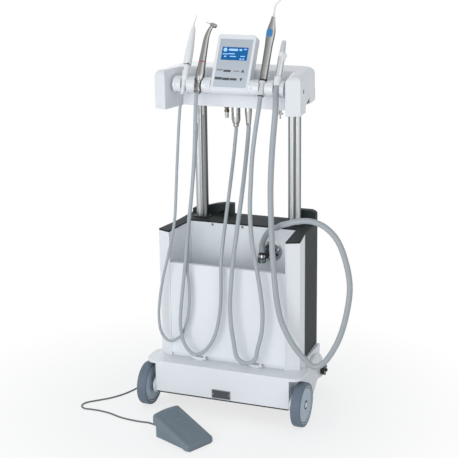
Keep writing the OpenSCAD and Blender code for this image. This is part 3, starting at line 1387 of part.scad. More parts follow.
lead_out = [coil_end, coil_end + coil_last * 12, [-98, 315, 6], [-115, 320, 12], [-123, 327, 28], [-125, 333, 50],
    [-124, 331, 75], [-121, 321, 92], [pedal_socket_x, plug_end + 12, pedal_socket_z],
    [pedal_socket_x, plug_end, pedal_socket_z]];
module pedal_cable() {
    color("black") above_floor() {
        tube(curve(lead_in, 3), cable_d, 8, [0, 0, 1]);
        tube(curve(lead_out, 3), cable_d, 8, [1, 1, 0.3]);
    }
}
module cable_plug() {
    color("dimgray") translate([pedal_socket_x, base_rear, pedal_socket_z]) rotate([-90, 0, 0]) {
        translate([0, 0, -8]) cylinder(d = plug_d, h = 11);
        translate([0, 0, 3]) cylinder(d = plug_d + 4, h = 17);
        translate([0, 0, 20]) cylinder(d1 = plug_d, d2 = cable_d + 2, h = plug_end - base_rear - 20);
    }
}

base_housing();
base_plate();
type_plate();
side_legs();
rubber_soles();
leg_knob_left();
leg_knob_right();
wheel_axle();
tyre_left();
rim_left();
tyre_right();
rim_right();
body_casing();
top_trim();
recess_panel();
rear_shell();
casing_screws();
column_sleeves();
front_flap();
flap_hinges();
suction_socket();
suction_elbow();
compressor();
suction_pump();
waste_jar();
water_bottle();
power_supply();
rear_sockets();
power_switch();
gas_spring_cylinders();
gas_spring_rods();
lift_columns();
head_shell();
head_underplate();
bar_shaft();
instrument_holders();
hose_couplings();
spray_tap();
display_housing();
keypad_foil();
display_window();
scaler_handpiece();
scaler_tip();
micromotor();
contra_angle();
bur();
syringe_body();
syringe_tip();
syringe_button();
suction_handpiece();
suction_slider();
hose_scaler();
hose_motor();
hose_syringe();
hose_suction();
pedal_base();
pedal_cover();
pedal_cable();
pedal_cable_coil();
cable_plug();
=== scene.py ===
"""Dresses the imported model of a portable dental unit: finishes, rounded edges, hoses, cable, stage and camera."""

import json
import math

import bmesh
import bpy
import numpy as np
from mathutils import Matrix, Vector


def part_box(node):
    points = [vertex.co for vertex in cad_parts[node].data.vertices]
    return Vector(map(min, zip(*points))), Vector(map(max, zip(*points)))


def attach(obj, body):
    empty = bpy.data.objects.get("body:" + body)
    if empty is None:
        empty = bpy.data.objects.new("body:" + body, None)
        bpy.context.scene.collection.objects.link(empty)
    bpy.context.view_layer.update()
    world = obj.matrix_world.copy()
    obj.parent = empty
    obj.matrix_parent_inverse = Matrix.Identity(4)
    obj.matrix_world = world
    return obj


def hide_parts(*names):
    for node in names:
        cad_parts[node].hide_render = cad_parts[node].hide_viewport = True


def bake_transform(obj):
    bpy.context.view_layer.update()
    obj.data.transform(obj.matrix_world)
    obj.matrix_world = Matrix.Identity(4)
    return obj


bl_info = {
    "name": "Portable dental unit",
    "version": (1, 0, 0),
    "blender": (4, 5, 0),
    "location": "3D View > Sidebar > Dental unit",
    "description": "Builds the finished look of a wheeled dental unit around its CAD model",
    "category": "Object",
}

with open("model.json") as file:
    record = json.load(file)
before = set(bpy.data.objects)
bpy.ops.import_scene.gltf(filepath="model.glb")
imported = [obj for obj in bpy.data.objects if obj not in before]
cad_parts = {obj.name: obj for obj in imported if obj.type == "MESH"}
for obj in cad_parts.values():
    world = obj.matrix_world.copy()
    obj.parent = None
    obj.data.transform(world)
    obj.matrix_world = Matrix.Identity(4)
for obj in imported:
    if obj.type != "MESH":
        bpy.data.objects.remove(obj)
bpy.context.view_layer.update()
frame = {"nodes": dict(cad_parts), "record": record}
SLOT_OF = {s["node"]: s["material_slot"] for s in frame["record"]["subparts"]}
BODY_OF = {
    node: body
    for body, nodes in frame["record"]["behaviour"]["bodies"].items()
    for node in nodes
}
MM = 0.001
TILT = math.radians(28)
# the bar's frame: x along the bar, z up along the tilted instruments
TILTED = np.array(
    [
        [1, 0, 0],
        [0, math.cos(TILT), math.sin(TILT)],
        [0, -math.sin(TILT), math.cos(TILT)],
    ]
)
TOOL_Y, BAR_Y, BAR_Z, DISPLAY_X = 57, 74, 926, 6
# copies of CAD nodes: what is merged, what counts as flat and what as an edge
MERGE_DISTANCE, FLAT_ANGLE, EDGE_ANGLE = 0.000004, math.radians(0.4), math.radians(28)


# ---------------------------------------------------------------- sizes and colours


class DentalSizes(bpy.types.PropertyGroup):
    """Sizes of the finish that a user would change."""

    edge: bpy.props.FloatProperty(
        name="Edge rounding", description="Unit of the edges' rounding, which each housing takes a multiple of",
        default=0.001, min=0.0002, max=0.002, subtype="DISTANCE", unit="LENGTH",
    )
    hose_pitch: bpy.props.FloatProperty(
        name="Hose rib pitch", description="Distance between the fine ribs of the suction hose",
        default=0.0026, min=0.001, max=0.01, subtype="DISTANCE", unit="LENGTH",
    )
    hose_sides: bpy.props.IntProperty(
        name="Hose sides", description="Faces round a hose", default=20, min=8, max=48,
    )
    route_steps: bpy.props.IntProperty(
        name="Route steps", description="Rings between two points of a hose's route",
        default=7, min=2, max=16,
    )


def colour_property(name, default):
    return bpy.props.FloatVectorProperty(
        name=name, description=name + " of the finish", default=default,
        min=0, max=1, size=3, subtype="COLOR",
    )


class DentalColours(bpy.types.PropertyGroup):
    """Colours of the finishes that a user would change."""

    white: colour_property("Cabinet white", (0.745, 0.775, 0.81))
    slate: colour_property("Rear shell slate", (0.034, 0.043, 0.045))
    pale: colour_property("Recess panel", (0.84, 0.88, 0.92))
    wheel: colour_property("Wheel blue grey", (0.33, 0.42, 0.50))
    tyre: colour_property("Tyre grey", (0.12, 0.155, 0.20))
    hose: colour_property("Hose grey", (0.375, 0.41, 0.44))
    pedal: colour_property("Pedal blue grey", (0.153, 0.196, 0.232))
    screen: colour_property("Screen blue", (0.010, 0.115, 0.32))
    foil: colour_property("Keypad foil", (0.44, 0.485, 0.54))
    button: colour_property("Button blue", (0.015, 0.19, 0.46))


# ---------------------------------------------------------------- shader maths


class Value:
    """A shader socket that can be used in sums; every operator adds one Math node."""

    def __init__(self, graph, socket):
        self.graph, self.socket = graph, socket

    def math(self, operation, *others, clamp=False):
        node = self.graph.tree.nodes.new("ShaderNodeMath")
        node.operation, node.use_clamp = operation, clamp
        for place, item in zip(node.inputs, (self, *others)):
            self.graph.plug(place, item)
        return Value(self.graph, node.outputs[0])

    def flipped(self, operation, other):
        node = self.graph.tree.nodes.new("ShaderNodeMath")
        node.operation = operation
        self.graph.plug(node.inputs[0], other)
        self.graph.plug(node.inputs[1], self)
        return Value(self.graph, node.outputs[0])

    def __add__(self, other):
        return self.math("ADD", other)

    def __sub__(self, other):
        return self.math("SUBTRACT", other)

    def __mul__(self, other):
        return self.math("MULTIPLY", other)

    def __truediv__(self, other):
        return self.math("DIVIDE", other)

    def __radd__(self, other):
        return self.flipped("ADD", other)

    def __rsub__(self, other):
        return self.flipped("SUBTRACT", other)

    def __rmul__(self, other):
        return self.flipped("MULTIPLY", other)

    def over(self, edge, soft=0.05):
        """0 below the edge and 1 above it, with a soft step."""
        return ((self - edge) / soft + 0.5).math("MAXIMUM", 0).math("MINIMUM", 1)


class Finish:
    """A material under construction, with its Principled shader."""

    def __init__(self, name, colour, roughness, metallic=0.0):
        self.material = bpy.data.materials.new(name)
        self.material.use_nodes = True
        self.tree = self.material.node_tree
        self.tree.nodes.clear()
        self.out = self.tree.nodes.new("ShaderNodeOutputMaterial")
        self.shader = self.tree.nodes.new("ShaderNodeBsdfPrincipled")
        self.tree.links.new(self.shader.outputs[0], self.out.inputs["Surface"])
        self.colour = tuple(colour)
        self.set(**{"Base Color": (*colour, 1), "Roughness": roughness, "Metallic": metallic})
        self.material.diffuse_color = (*colour, 1)
        coordinates = self.tree.nodes.new("ShaderNodeTexCoord")
        self.place = Value(self, coordinates.outputs["Object"])
        self.uv = Value(self, coordinates.outputs["UV"])

    def plug(self, socket, item):
        if isinstance(item, Value):
            self.tree.links.new(item.socket, socket)
        elif isinstance(item, (tuple, list)) and socket.type == "RGBA" and len(item) == 3:
            socket.default_value = (*item, 1)
        else:
            socket.default_value = item

    def set(self, **items):
        """Sets or links inputs of the Principled shader by name."""
        for name, item in items.items():
            self.plug(self.shader.inputs[name], item)
        return self

    def node(self, kind, settings=None, out=0, **items):
        """Adds any other node: its settings first, then its inputs by name or by number."""
        node = self.tree.nodes.new("ShaderNode" + kind)
        for name, item in (settings or {}).items():
            if name == "stops":
                ramp = node.color_ramp.elements
                ramp[0].position, ramp[1].position = item[0][0], item[-1][0]
                for at, _ in item[1:-1]:
                    ramp.new(at)
                for stop, (_, shade) in zip(ramp, item):
                    stop.color = (shade, shade, shade, 1)
            else:
                setattr(node, name, item)
        for name, item in items.items():
            self.plug(node.inputs[int(name[2:]) if name.startswith("in") else name], item)
        return Value(self, node.outputs[out])

    def stretched(self, x, y, z):
        return self.node("Mapping", None, Vector=self.place, Scale=(x, y, z))

    def noise(self, scale, detail=3.0, rough=0.5, vector=None):
        return self.node(
            "TexNoise", None, Vector=vector or self.place, Scale=scale, Detail=detail, Roughness=rough
        )

    def parts(self, vector=None):
        split = self.tree.nodes.new("ShaderNodeSeparateXYZ")
        self.plug(split.inputs[0], vector or self.place)
        return [Value(self, o) for o in split.outputs]

    def blend(self, amount, a, b):
        """Mixes two colours."""
        node = self.tree.nodes.new("ShaderNodeMix")
        node.data_type = "RGBA"
        self.plug(node.inputs["Factor"], amount)
        self.plug(node.inputs[6], a)
        self.plug(node.inputs[7], b)
        return Value(self, node.outputs[2])

    def bump(self, height, strength, distance, below=None):
        items = {"Height": height, "Strength": strength, "Distance": distance}
        if below is not None:
            items["Normal"] = below
        return self.node("Bump", None, **items)


def shaded(colour, factor):
    return tuple(min(1.0, c * factor) for c in colour)


def moulded(name, colour, roughness, grain=900, depth=0.00005, coat=0.0, cloud=0.05, shine=0.5):
    """Moulded plastic: fine grain in the normal, faint clouds in colour, handling marks in roughness."""
    f = Finish(name, colour, roughness)
    clouds = f.noise(7, 2)
    marks = f.noise(38, 5, 0.62)
    f.set(**{
        "Base Color": f.blend(clouds, shaded(colour, 1 - cloud), shaded(colour, 1 + cloud)),
        "Roughness": marks * 0.16 + (roughness - 0.08),
        "Normal": f.bump(f.noise(grain, 2), 0.35, depth),
        "Coat Weight": coat, "Coat Roughness": 0.2, "Specular IOR Level": shine,
    })
    return f.material


def sprayed(name, colour, roughness):
    """Sprayed paint on sheet: orange peel in the normal and soft wear in roughness."""
    f = Finish(name, colour, roughness)
    peel = f.bump(f.noise(420, 2, 0.4), 0.3, 0.00006)
    wear = f.noise(26, 6, 0.6)
    f.set(**{
        "Base Color": f.blend(f.noise(5, 2), shaded(colour, 0.965), shaded(colour, 1.02)),
        "Roughness": wear * 0.14 + (roughness - 0.07),
        "Normal": peel,
    })
    return f.material


def turned(name, colour, roughness, stretch=(30, 30, 1500), streak=0.08):
    """Bare metal with fine machining lines square to one axis."""
    f = Finish(name, colour, roughness, 1.0)
    lines = f.noise(1.0, 3, 0.6, f.stretched(*stretch))
    spots = f.noise(60, 4)
    f.set(**{
        "Base Color": f.blend(lines, shaded(colour, 1 - streak), shaded(colour, 1 + streak)),
        "Roughness": lines * 0.12 + spots * 0.08 + (roughness - 0.1),
        "Normal": f.bump(lines, 0.18, 0.00002),
    })
    return f.material


def soft_rubber(name, colour, roughness, grain=700):
    """Rubber: matt grain, pale dust in the cloudy parts."""
    f = Finish(name, colour, roughness)
    dust = f.noise(24, 5, 0.6).over(0.58, 0.3)
    f.set(**{
        "Base Color": f.blend(dust * 0.35, colour, shaded(colour, 1.35)),
        "Roughness": f.noise(90, 3) * 0.14 + (roughness - 0.07),
        "Normal": f.bump(f.noise(grain, 3), 0.4, 0.00008),
    })
    return f.material


def ringed_hose(name, colour, pitch, depth, roughness=0.42):
    """Hose with fine rings; u runs round it and v along it, in metres."""
    f = Finish(name, colour, roughness)
    along = f.parts(f.uv)[1]
    wave = (along * (2 * math.pi / pitch)).math("SINE")
    clouds = f.noise(30, 3)
    f.set(**{
        "Base Color": f.blend(clouds, shaded(colour, 0.93), shaded(colour, 1.06)),
        "Roughness": f.noise(150, 3) * 0.12 + (roughness - 0.06),
        "Normal": f.bump(wave * 0.5 + f.noise(600, 2) * 0.25, 0.5, depth),
    })
    return f.material


def clear(name, colour, roughness=0.08, alpha=0.55):
    """Clear moulded plastic, shown by its gloss and a part of its colour."""
    f = Finish(name, colour, roughness)
    f.set(**{
        "Roughness": f.noise(40, 3) * 0.08 + roughness,
        "Alpha": f.noise(12, 2) * 0.1 + alpha,
        "Normal": f.bump(f.noise(200, 2), 0.15, 0.00004),
        "IOR": 1.46,
    })
    return f.material


# how much x and y count across the camera's view; the columns' places and the width of the painted light and shade
# bands, in metres
VIEW_ACROSS = (0.930, 0.368)
COLUMN_X, COLUMN_Y, PAINTED_BANDS_WIDTH = 0.141, 0.206, 0.0358


def striped_column(name, tint, left, right):
    """Anodised columns of two lobes each: painted reflections and shade, as bands by the place across the column seen
    from the camera, and fine drawing lines.
    """
    f = Finish(name, tint, 0.3, 1.0)
    x, y, _ = f.parts()
    depth = (y - COLUMN_Y) * VIEW_ACROSS[1]
    fine = f.noise(1.0, 4, 0.6, f.stretched(900, 900, 3))
    shift = fine * 0.02 + 0.49
    painted_bands = []
    # painted light and shade: a ramp of light and dark bands across each column as the camera sees it
    for middle, stops in ((-COLUMN_X, left), (COLUMN_X, right)):
        across = ((x - middle) * VIEW_ACROSS[0] + depth) / PAINTED_BANDS_WIDTH + shift
        painted_bands.append(f.node("ValToRGB", {"stops": stops}, Fac=across))
    f.set(**{
        "Base Color": f.blend(f.blend(x.over(0.0, 0.1), painted_bands[0], painted_bands[1]), (0.0, 0.0, 0.0), tint),
        "Roughness": fine * 0.16 + 0.22,
        "Normal": f.bump(fine, 0.2, 0.00003),
    })
    return f.material


def lit_metal(name, tint, stops, roughness=0.22, metallic=1.0):
    """Polished round metal with painted reflections: broad light and dark bands along its length, painted by the
    direction that its side faces.
    """
    f = Finish(name, tint, roughness, metallic)
    x, y, _ = f.parts(f.uv)
    across = (x * VIEW_ACROSS[0] + y * VIEW_ACROSS[1]) * 0.5 + 0.5
    wobble = f.noise(60, 2) * 0.03 - 0.015
    # painted reflections: a ramp of light and dark by the direction the side faces
    painted_reflection = f.node("ValToRGB", {"stops": stops}, Fac=across + wobble)
    fine = f.noise(1.0, 3, 0.6, f.stretched(90, 90, 1400))
    f.set(**{
        "Base Color": f.blend(painted_reflection, (0.0, 0.0, 0.0), f.blend(fine, shaded(tint, 0.93), shaded(tint, 1.05))),
        "Roughness": fine * 0.1 + (roughness - 0.05),
        "Normal": f.bump(fine, 0.12, 0.00002),
    })
    return f.material


def lit_screen(name, colour):
    """Back-lit window: even blue light with a soft fall-off and a fine dot grid."""
    f = Finish(name, colour, 0.16)
    x, _, z = f.parts()
    dots = ((x * 9000).math("SINE") * (z * 9000).math("SINE")) * 0.5 + 0.5
    glow = f.blend(f.noise(24, 2), shaded(colour, 0.8), shaded(colour, 1.2))
    f.set(**{
        "Base Color": f.blend(dots * 0.25, shaded(colour, 0.3), shaded(colour, 0.2)),
        "Emission Color": f.blend(dots * 0.2, glow, shaded(colour, 0.6)),
        "Emission Strength": 0.9,
        "Roughness": f.noise(60, 3) * 0.1 + 0.3,
        "Specular IOR Level": 0.08,
    })
    return f.material


def printed_foil(name, colour):
    """Membrane foil: fine texture, a slightly paler lower part."""
    f = Finish(name, colour, 0.46)
    _, _, z = f.parts()
    lower = (z - 0.99) * -12.0
    f.set(**{
        "Base Color": f.blend(
            (lower + f.noise(18, 2) * 0.3).math("MAXIMUM", 0).math("MINIMUM", 1),
            colour, shaded(colour, 1.16),
        ),
        "Roughness": f.noise(120, 3) * 0.14 + 0.4,
        "Normal": f.bump(f.noise(1500, 2), 0.3, 0.00003),
    })
    return f.material


def glowing(name, colour, strength):
    f = Finish(name, colour, 0.4)
    f.set(**{
        "Emission Color": f.blend(f.noise(40, 2), shaded(colour, 0.9), colour),
        "Emission Strength": strength,
    })
    return f.material


def make_finishes(sizes, colours):
    """All finishes by name: those of the record's slots and a few more for details."""
    white, slate = tuple(colours.white), tuple(colours.slate)
    steel = (0.56, 0.57, 0.58)
    return {
        "shell_white": moulded("shell_white", white, 0.38, 1100, 0.00003, 0.15, 0.018),
        "plate_dark": sprayed("plate_dark", (0.022, 0.022, 0.025), 0.5),
        "plate_grey": turned("plate_grey", (0.50, 0.515, 0.54), 0.42, (40, 40, 1800)),
        "leg_white": sprayed("leg_white", shaded(white, 0.95), 0.36),
        "rubber_black": soft_rubber("rubber_black", (0.02, 0.02, 0.021), 0.72),
        "knob_black": moulded("knob_black", (0.018, 0.018, 0.02), 0.36, 1200, 0.00005),
        "steel": turned("steel", steel, 0.28),
        "tyre_grey": soft_rubber("tyre_grey", tuple(colours.tyre), 0.62),
        "rim_blue": moulded("rim_blue", tuple(colours.wheel), 0.42, 900, 0.00004, 0.1, 0.04),
        "trim_dark": moulded("trim_dark", shaded(slate, 0.72), 0.6, 1300, 0.00006, shine=0.12),
        "panel_pale": sprayed("panel_pale", tuple(colours.pale), 0.34),
        "shell_dark": moulded("shell_dark", slate, 0.6, 1300, 0.00008, 0.0, 0.06, 0.14),
        "plastic_black": moulded("plastic_black", (0.02, 0.02, 0.022), 0.45, 1000, 0.00005, shine=0.35),
        "flap_white": sprayed("flap_white", shaded(white, 1.05), 0.36),
        "chrome": turned("chrome", (0.66, 0.67, 0.69), 0.14, (60, 60, 900), 0.04),
        "cast_aluminium": turned("cast_aluminium", (0.40, 0.41, 0.42), 0.5, (120, 120, 120), 0.14),
        "bottle_clear": clear("bottle_clear", (0.72, 0.78, 0.82)),
        "housing_steel": turned("housing_steel", (0.42, 0.43, 0.44), 0.42, (300, 20, 20)),
        # painted reflections and shade: the ramps of light and dark across the left and right columns
        "column_alu": striped_column(
            "column_alu", (0.94, 0.98, 1.0),
            [(0, 0.2), (0.1, 0.46), (0.2, 0.55), (0.31, 0.68), (0.39, 0.78), (0.46, 0.42), (0.53, 0.15),
             (0.61, 0.24), (0.69, 0.2), (0.77, 0.32), (0.85, 0.15), (0.93, 0.08), (1, 0.13)],
            [(0, 0.15), (0.09, 0.3), (0.19, 0.5), (0.31, 0.8), (0.39, 0.55), (0.465, 0.15), (0.53, 0.19),
             (0.62, 0.5), (0.73, 0.66), (0.81, 0.6), (0.89, 0.34), (0.955, 0.13), (1, 0.15)],
        ),
        "holder_white": moulded("holder_white", shaded(white, 0.97), 0.34, 1100, 0.00003, 0.2, 0.02),
        "foil_grey": printed_foil("foil_grey", tuple(colours.foil)),
        "lcd_blue": lit_screen("lcd_blue", tuple(colours.screen)),
        "tool_white": moulded("tool_white", (0.76, 0.78, 0.80), 0.26, 1500, 0.00002, 0.4, 0.02),
        "tool_metal": turned("tool_metal", (0.44, 0.44, 0.445), 0.3, (200, 200, 1400), 0.08),
        "button_blue": moulded("button_blue", tuple(colours.button), 0.32, 1200, 0.00003, 0.3),
        "tool_grey": moulded("tool_grey", (0.60, 0.62, 0.645), 0.34, 1300, 0.00004),
        "hose_grey": ringed_hose("hose_grey", tuple(colours.hose), 0.0016, 0.00003),
        "hose_ribbed": ringed_hose("hose_ribbed", shaded(tuple(colours.hose), 0.94), sizes.hose_pitch, 0.00016),
        "pedal_blue": moulded("pedal_blue", tuple(colours.pedal), 0.5, 650, 0.00016, 0.0, 0.05),
        "cable_grey": ringed_hose("cable_grey", (0.13, 0.135, 0.145), 0.0011, 0.00002, 0.5),
        # painted reflections: each ramp below gives the light and dark bands of a part by the direction its side faces
        "polished": lit_metal(
            "polished", (0.98, 1.0, 1.0),
            [(0, 0.2), (0.08, 0.36), (0.2, 0.32), (0.33, 0.68), (0.44, 0.88), (0.55, 0.7), (0.68, 0.42),
             (0.82, 0.34), (0.92, 0.14), (1, 0.08)], 0.16),
        "brushed": lit_metal(
            "brushed", (0.98, 1.0, 1.0),
            [(0, 0.1), (0.06, 0.17), (0.2, 0.22), (0.42, 0.32), (0.62, 0.46), (0.74, 0.72), (0.82, 0.7),
             (0.89, 0.1), (1, 0.03)], 0.3),
        "dark_steel": lit_metal(
            "dark_steel", (1.0, 1.0, 0.99),
            [(0, 0.1), (0.08, 0.24), (0.22, 0.3), (0.34, 0.24), (0.5, 0.32), (0.66, 0.62), (0.74, 0.7),
             (0.84, 0.34), (0.92, 0.1), (1, 0.08)], 0.24),
        "brown_brass": lit_metal(
            "brown_brass", (1.0, 0.86, 0.66),
            [(0, 0.12), (0.15, 0.3), (0.35, 0.2), (0.55, 0.1), (0.75, 0.07), (0.9, 0.16), (1, 0.2)], 0.3),
        "clear_wall": lit_metal(
            "clear_wall", (0.97, 1.0, 1.0),
            [(0, 0.3), (0.08, 0.36), (0.2, 0.6), (0.32, 0.66), (0.5, 0.62), (0.6, 0.9), (0.76, 0.92),
             (0.86, 0.5), (1, 0.3)], 0.2, 0.0),
        "ring_pale": moulded("ring_pale", (0.50, 0.57, 0.64), 0.4, 1100, 0.00002),
        "mark_dark": moulded("mark_dark", (0.06, 0.065, 0.075), 0.5, 1200, 0.00002),
        "mark_grey": moulded("mark_grey", (0.25, 0.27, 0.30), 0.5, 1200, 0.00002),
        "nozzle_clear": clear("nozzle_clear", (0.86, 0.89, 0.88), 0.1, 0.8),
        "mark_pale": glowing("mark_pale", (0.24, 0.42, 0.76), 0.8),
        "ring_red": moulded("ring_red", (0.55, 0.03, 0.03), 0.35, 1200, 0.00002),
    }


FINISH = {}


# ---------------------------------------------------------------- surfaces


def mesh_object(name, points, faces, uv=None, sharp=35):
    """A mesh from an array of points in millimetres and an array of faces."""
    mesh = bpy.data.meshes.new(name)
    mesh.from_pydata((np.asarray(points, float) * MM).tolist(), [], [list(f) for f in faces])
    mesh.update()
    mesh.polygons.foreach_set("use_smooth", np.ones(len(mesh.polygons), bool))
    mesh.set_sharp_from_angle(angle=math.radians(sharp))
    if uv is not None:
        layer = mesh.uv_layers.new(name="Along")
        corners = np.zeros(len(mesh.loops), np.int32)
        mesh.loops.foreach_get("vertex_index", corners)
        layer.data.foreach_set("uv", np.asarray(uv, np.float32)[corners].ravel())
    piece = bpy.data.objects.new(name, mesh)
    bpy.context.scene.collection.objects.link(piece)
    return piece


def net(rows, columns, round_u=True):
    """Faces of a grid of rows by columns points, closed round each row."""
    r, c = np.meshgrid(np.arange(rows - 1), np.arange(columns if round_u else columns - 1), indexing="ij")
    n = (c + 1) % columns
    return np.stack([r * columns + c, r * columns + n, (r + 1) * columns + n, (r + 1) * columns + c], -1).reshape(-1, 4)


def caps(rows, columns):
    """The two end faces of a closed grid."""
    return [list(range(columns))[::-1], list(range((rows - 1) * columns, rows * columns))]


def finished(piece, body, slot, replaced=(), finish=None):
    """Gives a piece its finish, its body and the CAD nodes that it stands for."""
    piece.data.materials.clear()
    piece.data.materials.append(FINISH[finish or slot])
    if body:
        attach(piece, body)
    if replaced:
        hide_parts(*replaced)
    return piece


def lathe(name, profile, segments=56, place=None):
    """A profile of [radius, height] turned about the z axis: (r cos a, r sin a, z). Its map holds cos a and sin a."""
    p = np.asarray(profile, float)
    a = np.linspace(0, 2 * np.pi, segments, endpoint=False)
    points = np.stack([
        np.outer(p[:, 0], np.cos(a)), np.outer(p[:, 0], np.sin(a)), np.repeat(p[:, 1:2], segments, 1)
    ], -1).reshape(-1, 3)
    faces = net(len(p), segments).tolist() + caps(len(p), segments)
    round_it = np.tile(np.stack([np.cos(a), np.sin(a)], -1), (len(p), 1))
    return mesh_object(name, place(points) if place else points, faces, round_it)


def turned_pieces(node, place, rows, segments=56, replace=True):
    """Turned pieces of one CAD node: each row is a name, a finish and a profile. The first stands for the node."""
    for i, (name, finish, profile) in enumerate(rows):
        piece = lathe(name, profile, segments, place)
        finished(piece, BODY_OF[node], SLOT_OF[node], [node] if replace and i == 0 else (), finish)


def upright(x, y):
    """Places points about an upright axis at x and y."""
    return lambda p: np.asarray(p) + np.array([x, y, 0])


def corners_of(node):
    """The two corners of a CAD node's box, in millimetres."""
    return (np.asarray(corner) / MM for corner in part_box(node))


def eased(profile, steps=5, keep=0.6):
    """A profile smoothed between its points: each run follows a cubic with limited slopes."""
    p = np.asarray(profile, float)
    m = len(p) - 1
    out = []
    for i in range(m):
        a, b, c, d = p[max(i - 1, 0)], p[i], p[i + 1], p[min(i + 2, m)]
        t = np.linspace(0, 1, steps, endpoint=False)[:, None]
        run = 0.5 * (2 * b + (c - a) * t + (2 * a - 5 * b + 4 * c - d) * t**2 + (3 * b - a - 3 * c + d) * t**3)
        line = b + (c - b) * t
        out.append(line + (run - line) * keep)
    out.append(p[-1:])
    return np.concatenate(out)


def on_bar(x):
    """Places points of the tilted bar's frame at x along the bar."""
    return lambda p: np.asarray(p) @ TILTED.T + np.array([x, TOOL_Y, BAR_Z])


def on_display(p):
    return np.asarray(p) @ TILTED.T + np.array([DISPLAY_X, BAR_Y, BAR_Z])


def smooth_route(points, steps):
    """A curve through the points of a route: each run is the cubic through its neighbours."""
    p = np.asarray(points, float)
    m = len(p) - 1
    t = np.linspace(0, 1, steps, endpoint=False)[:, None]
    runs = []
    for i in range(m):
        a, b, c, d = p[max(i - 1, 0)], p[i], p[i + 1], p[min(i + 2, m)]
        runs.append(0.5 * (2 * b + (c - a) * t + (2 * a - 5 * b + 4 * c - d) * t**2 + (3 * b - a - 3 * c + d) * t**3))
    return np.concatenate(runs + [p[-1:]])


def sweep(name, line, radius, sides=20, sharp=50):
    """A round section carried along a line: centre + r (cos a n + sin a b), with n and b turned the least."""
    line = np.asarray(line, float)
    radius = np.broadcast_to(radius, len(line))
    tangent = np.gradient(line, axis=0)
    tangent /= np.linalg.norm(tangent, axis=1)[:, None]
    normal = np.zeros_like(line)
    first = np.cross(tangent[0], [0.31, 0.87, 0.39])
    normal[0] = first / np.linalg.norm(first)
    for i in range(1, len(line)):
        n = normal[i - 1] - tangent[i] * (normal[i - 1] @ tangent[i])
        normal[i] = n / np.linalg.norm(n)
    across = np.cross(tangent, normal)
    a = np.linspace(0, 2 * np.pi, sides, endpoint=False)
    points = (
        line[:, None]
        + radius[:, None, None]
        * (np.cos(a)[None, :, None] * normal[:, None] + np.sin(a)[None, :, None] * across[:, None])
    ).reshape(-1, 3)
    length = np.concatenate([[0], np.cumsum(np.linalg.norm(np.diff(line, axis=0), axis=1))]) * MM
    uv = np.stack([np.tile(a / (2 * np.pi), len(line)), np.repeat(length, sides)], -1)
    return mesh_object(name, points, net(len(line), sides).tolist() + caps(len(line), sides), uv, sharp)


def slab(outline, low, high, place, name):
    """An outline in x and z made a plate between two depths: the sign of its area sets which way the faces point."""
    p = np.asarray(outline, float)
    area = np.sum(p[:, 0] * np.roll(p[:, 1], -1) - np.roll(p[:, 0], -1) * p[:, 1])
    if area < 0:
        p = p[::-1]
    n = len(p)
    front = np.stack([p[:, 0], np.full(n, low), p[:, 1]], -1)
    back = np.stack([p[:, 0], np.full(n, high), p[:, 1]], -1)
    i = np.arange(n)
    faces = [list(range(n)), list(range(2 * n - 1, n - 1, -1))]
    faces += np.stack([(i + 1) % n, i, i + n, (i + 1) % n + n], -1).tolist()
    return mesh_object(name, place(np.concatenate([front, back])), faces)


def pad(name, outline, levels, place):
    """A raised pad with rounded shoulders: its outline in x and z, scaled about its middle at each [depth, scale]."""
    p = np.asarray(outline, float)
    if np.sum(p[:, 0] * np.roll(p[:, 1], -1) - np.roll(p[:, 0], -1) * p[:, 1]) < 0:
        p = p[::-1]
    middle = p.mean(0)
    rings = []
    for depth, scale in levels:
        q = middle + (p - middle) * scale
        rings.append(np.stack([q[:, 0], np.full(len(q), depth), q[:, 1]], -1))
    points = np.concatenate(rings)
    return mesh_object(name, place(points), net(len(levels), len(p)).tolist() + caps(len(levels), len(p)), sharp=50)


def disc(x, z, r, n=28, start=0.0):
    a = np.linspace(0, 2 * np.pi, n, endpoint=False) + start
    return np.stack([x + r * np.cos(a), z + r * np.sin(a)], -1)


def rounded_bar(x, z, w, h, r=None, n=5):
    """Outline of a bar of width w and height h with round corners, centred on x and z."""
    r = min(w, h) / 2 * 0.98 if r is None else r
    corners = []
    for k, (sx, sz) in enumerate(((1, 1), (-1, 1), (-1, -1), (1, -1))):
        a = np.linspace(0, np.pi / 2, n) + k * np.pi / 2
        corners.append(np.stack([x + sx * (w / 2 - r) + r * np.cos(a), z + sz * (h / 2 - r) + r * np.sin(a)], -1))
    return np.concatenate(corners)


def joined(name, pieces):
    """One object of several meshes."""
    mesh = bpy.data.meshes.new(name)
    work = bmesh.new()
    for piece in pieces:
        work.from_mesh(piece.data)
        bpy.data.objects.remove(piece)
    work.to_mesh(mesh)
    work.free()
    mesh.set_sharp_from_angle(angle=math.radians(35))
    piece = bpy.data.objects.new(name, mesh)
    bpy.context.scene.collection.objects.link(piece)
    return piece


def softened(node, width, segments=3):
    """A merged copy of a CAD node with its sharp edges rounded. It stands for the node."""
    mesh = frame["nodes"][node].data.copy()
    mesh.materials.clear()
    work = bmesh.new()
    work.from_mesh(mesh)
    bmesh.ops.remove_doubles(work, verts=work.verts, dist=MERGE_DISTANCE)
    bmesh.ops.dissolve_limit(
        work, angle_limit=FLAT_ANGLE, verts=work.verts, edges=work.edges, use_dissolve_boundaries=False
    )
    work.to_mesh(mesh)
    work.free()
    mesh.polygons.foreach_set("use_smooth", np.ones(len(mesh.polygons), bool))
    piece = bpy.data.objects.new(node + "_finished", mesh)
    bpy.context.scene.collection.objects.link(piece)
    bevel = piece.modifiers.new("Rounded edges", "BEVEL")
    bevel.width, bevel.segments = width, segments
    bevel.limit_method, bevel.angle_limit = "ANGLE", EDGE_ANGLE
    piece.modifiers.new("Even shading", "WEIGHTED_NORMAL").keep_sharp = True
    return finished(piece, BODY_OF[node], SLOT_OF[node], [node])


# ---------------------------------------------------------------- routes, as in the CAD model


def tool_end(x, w):
    return [x, TOOL_Y + w * math.sin(TILT), BAR_Z + w * math.cos(TILT)]


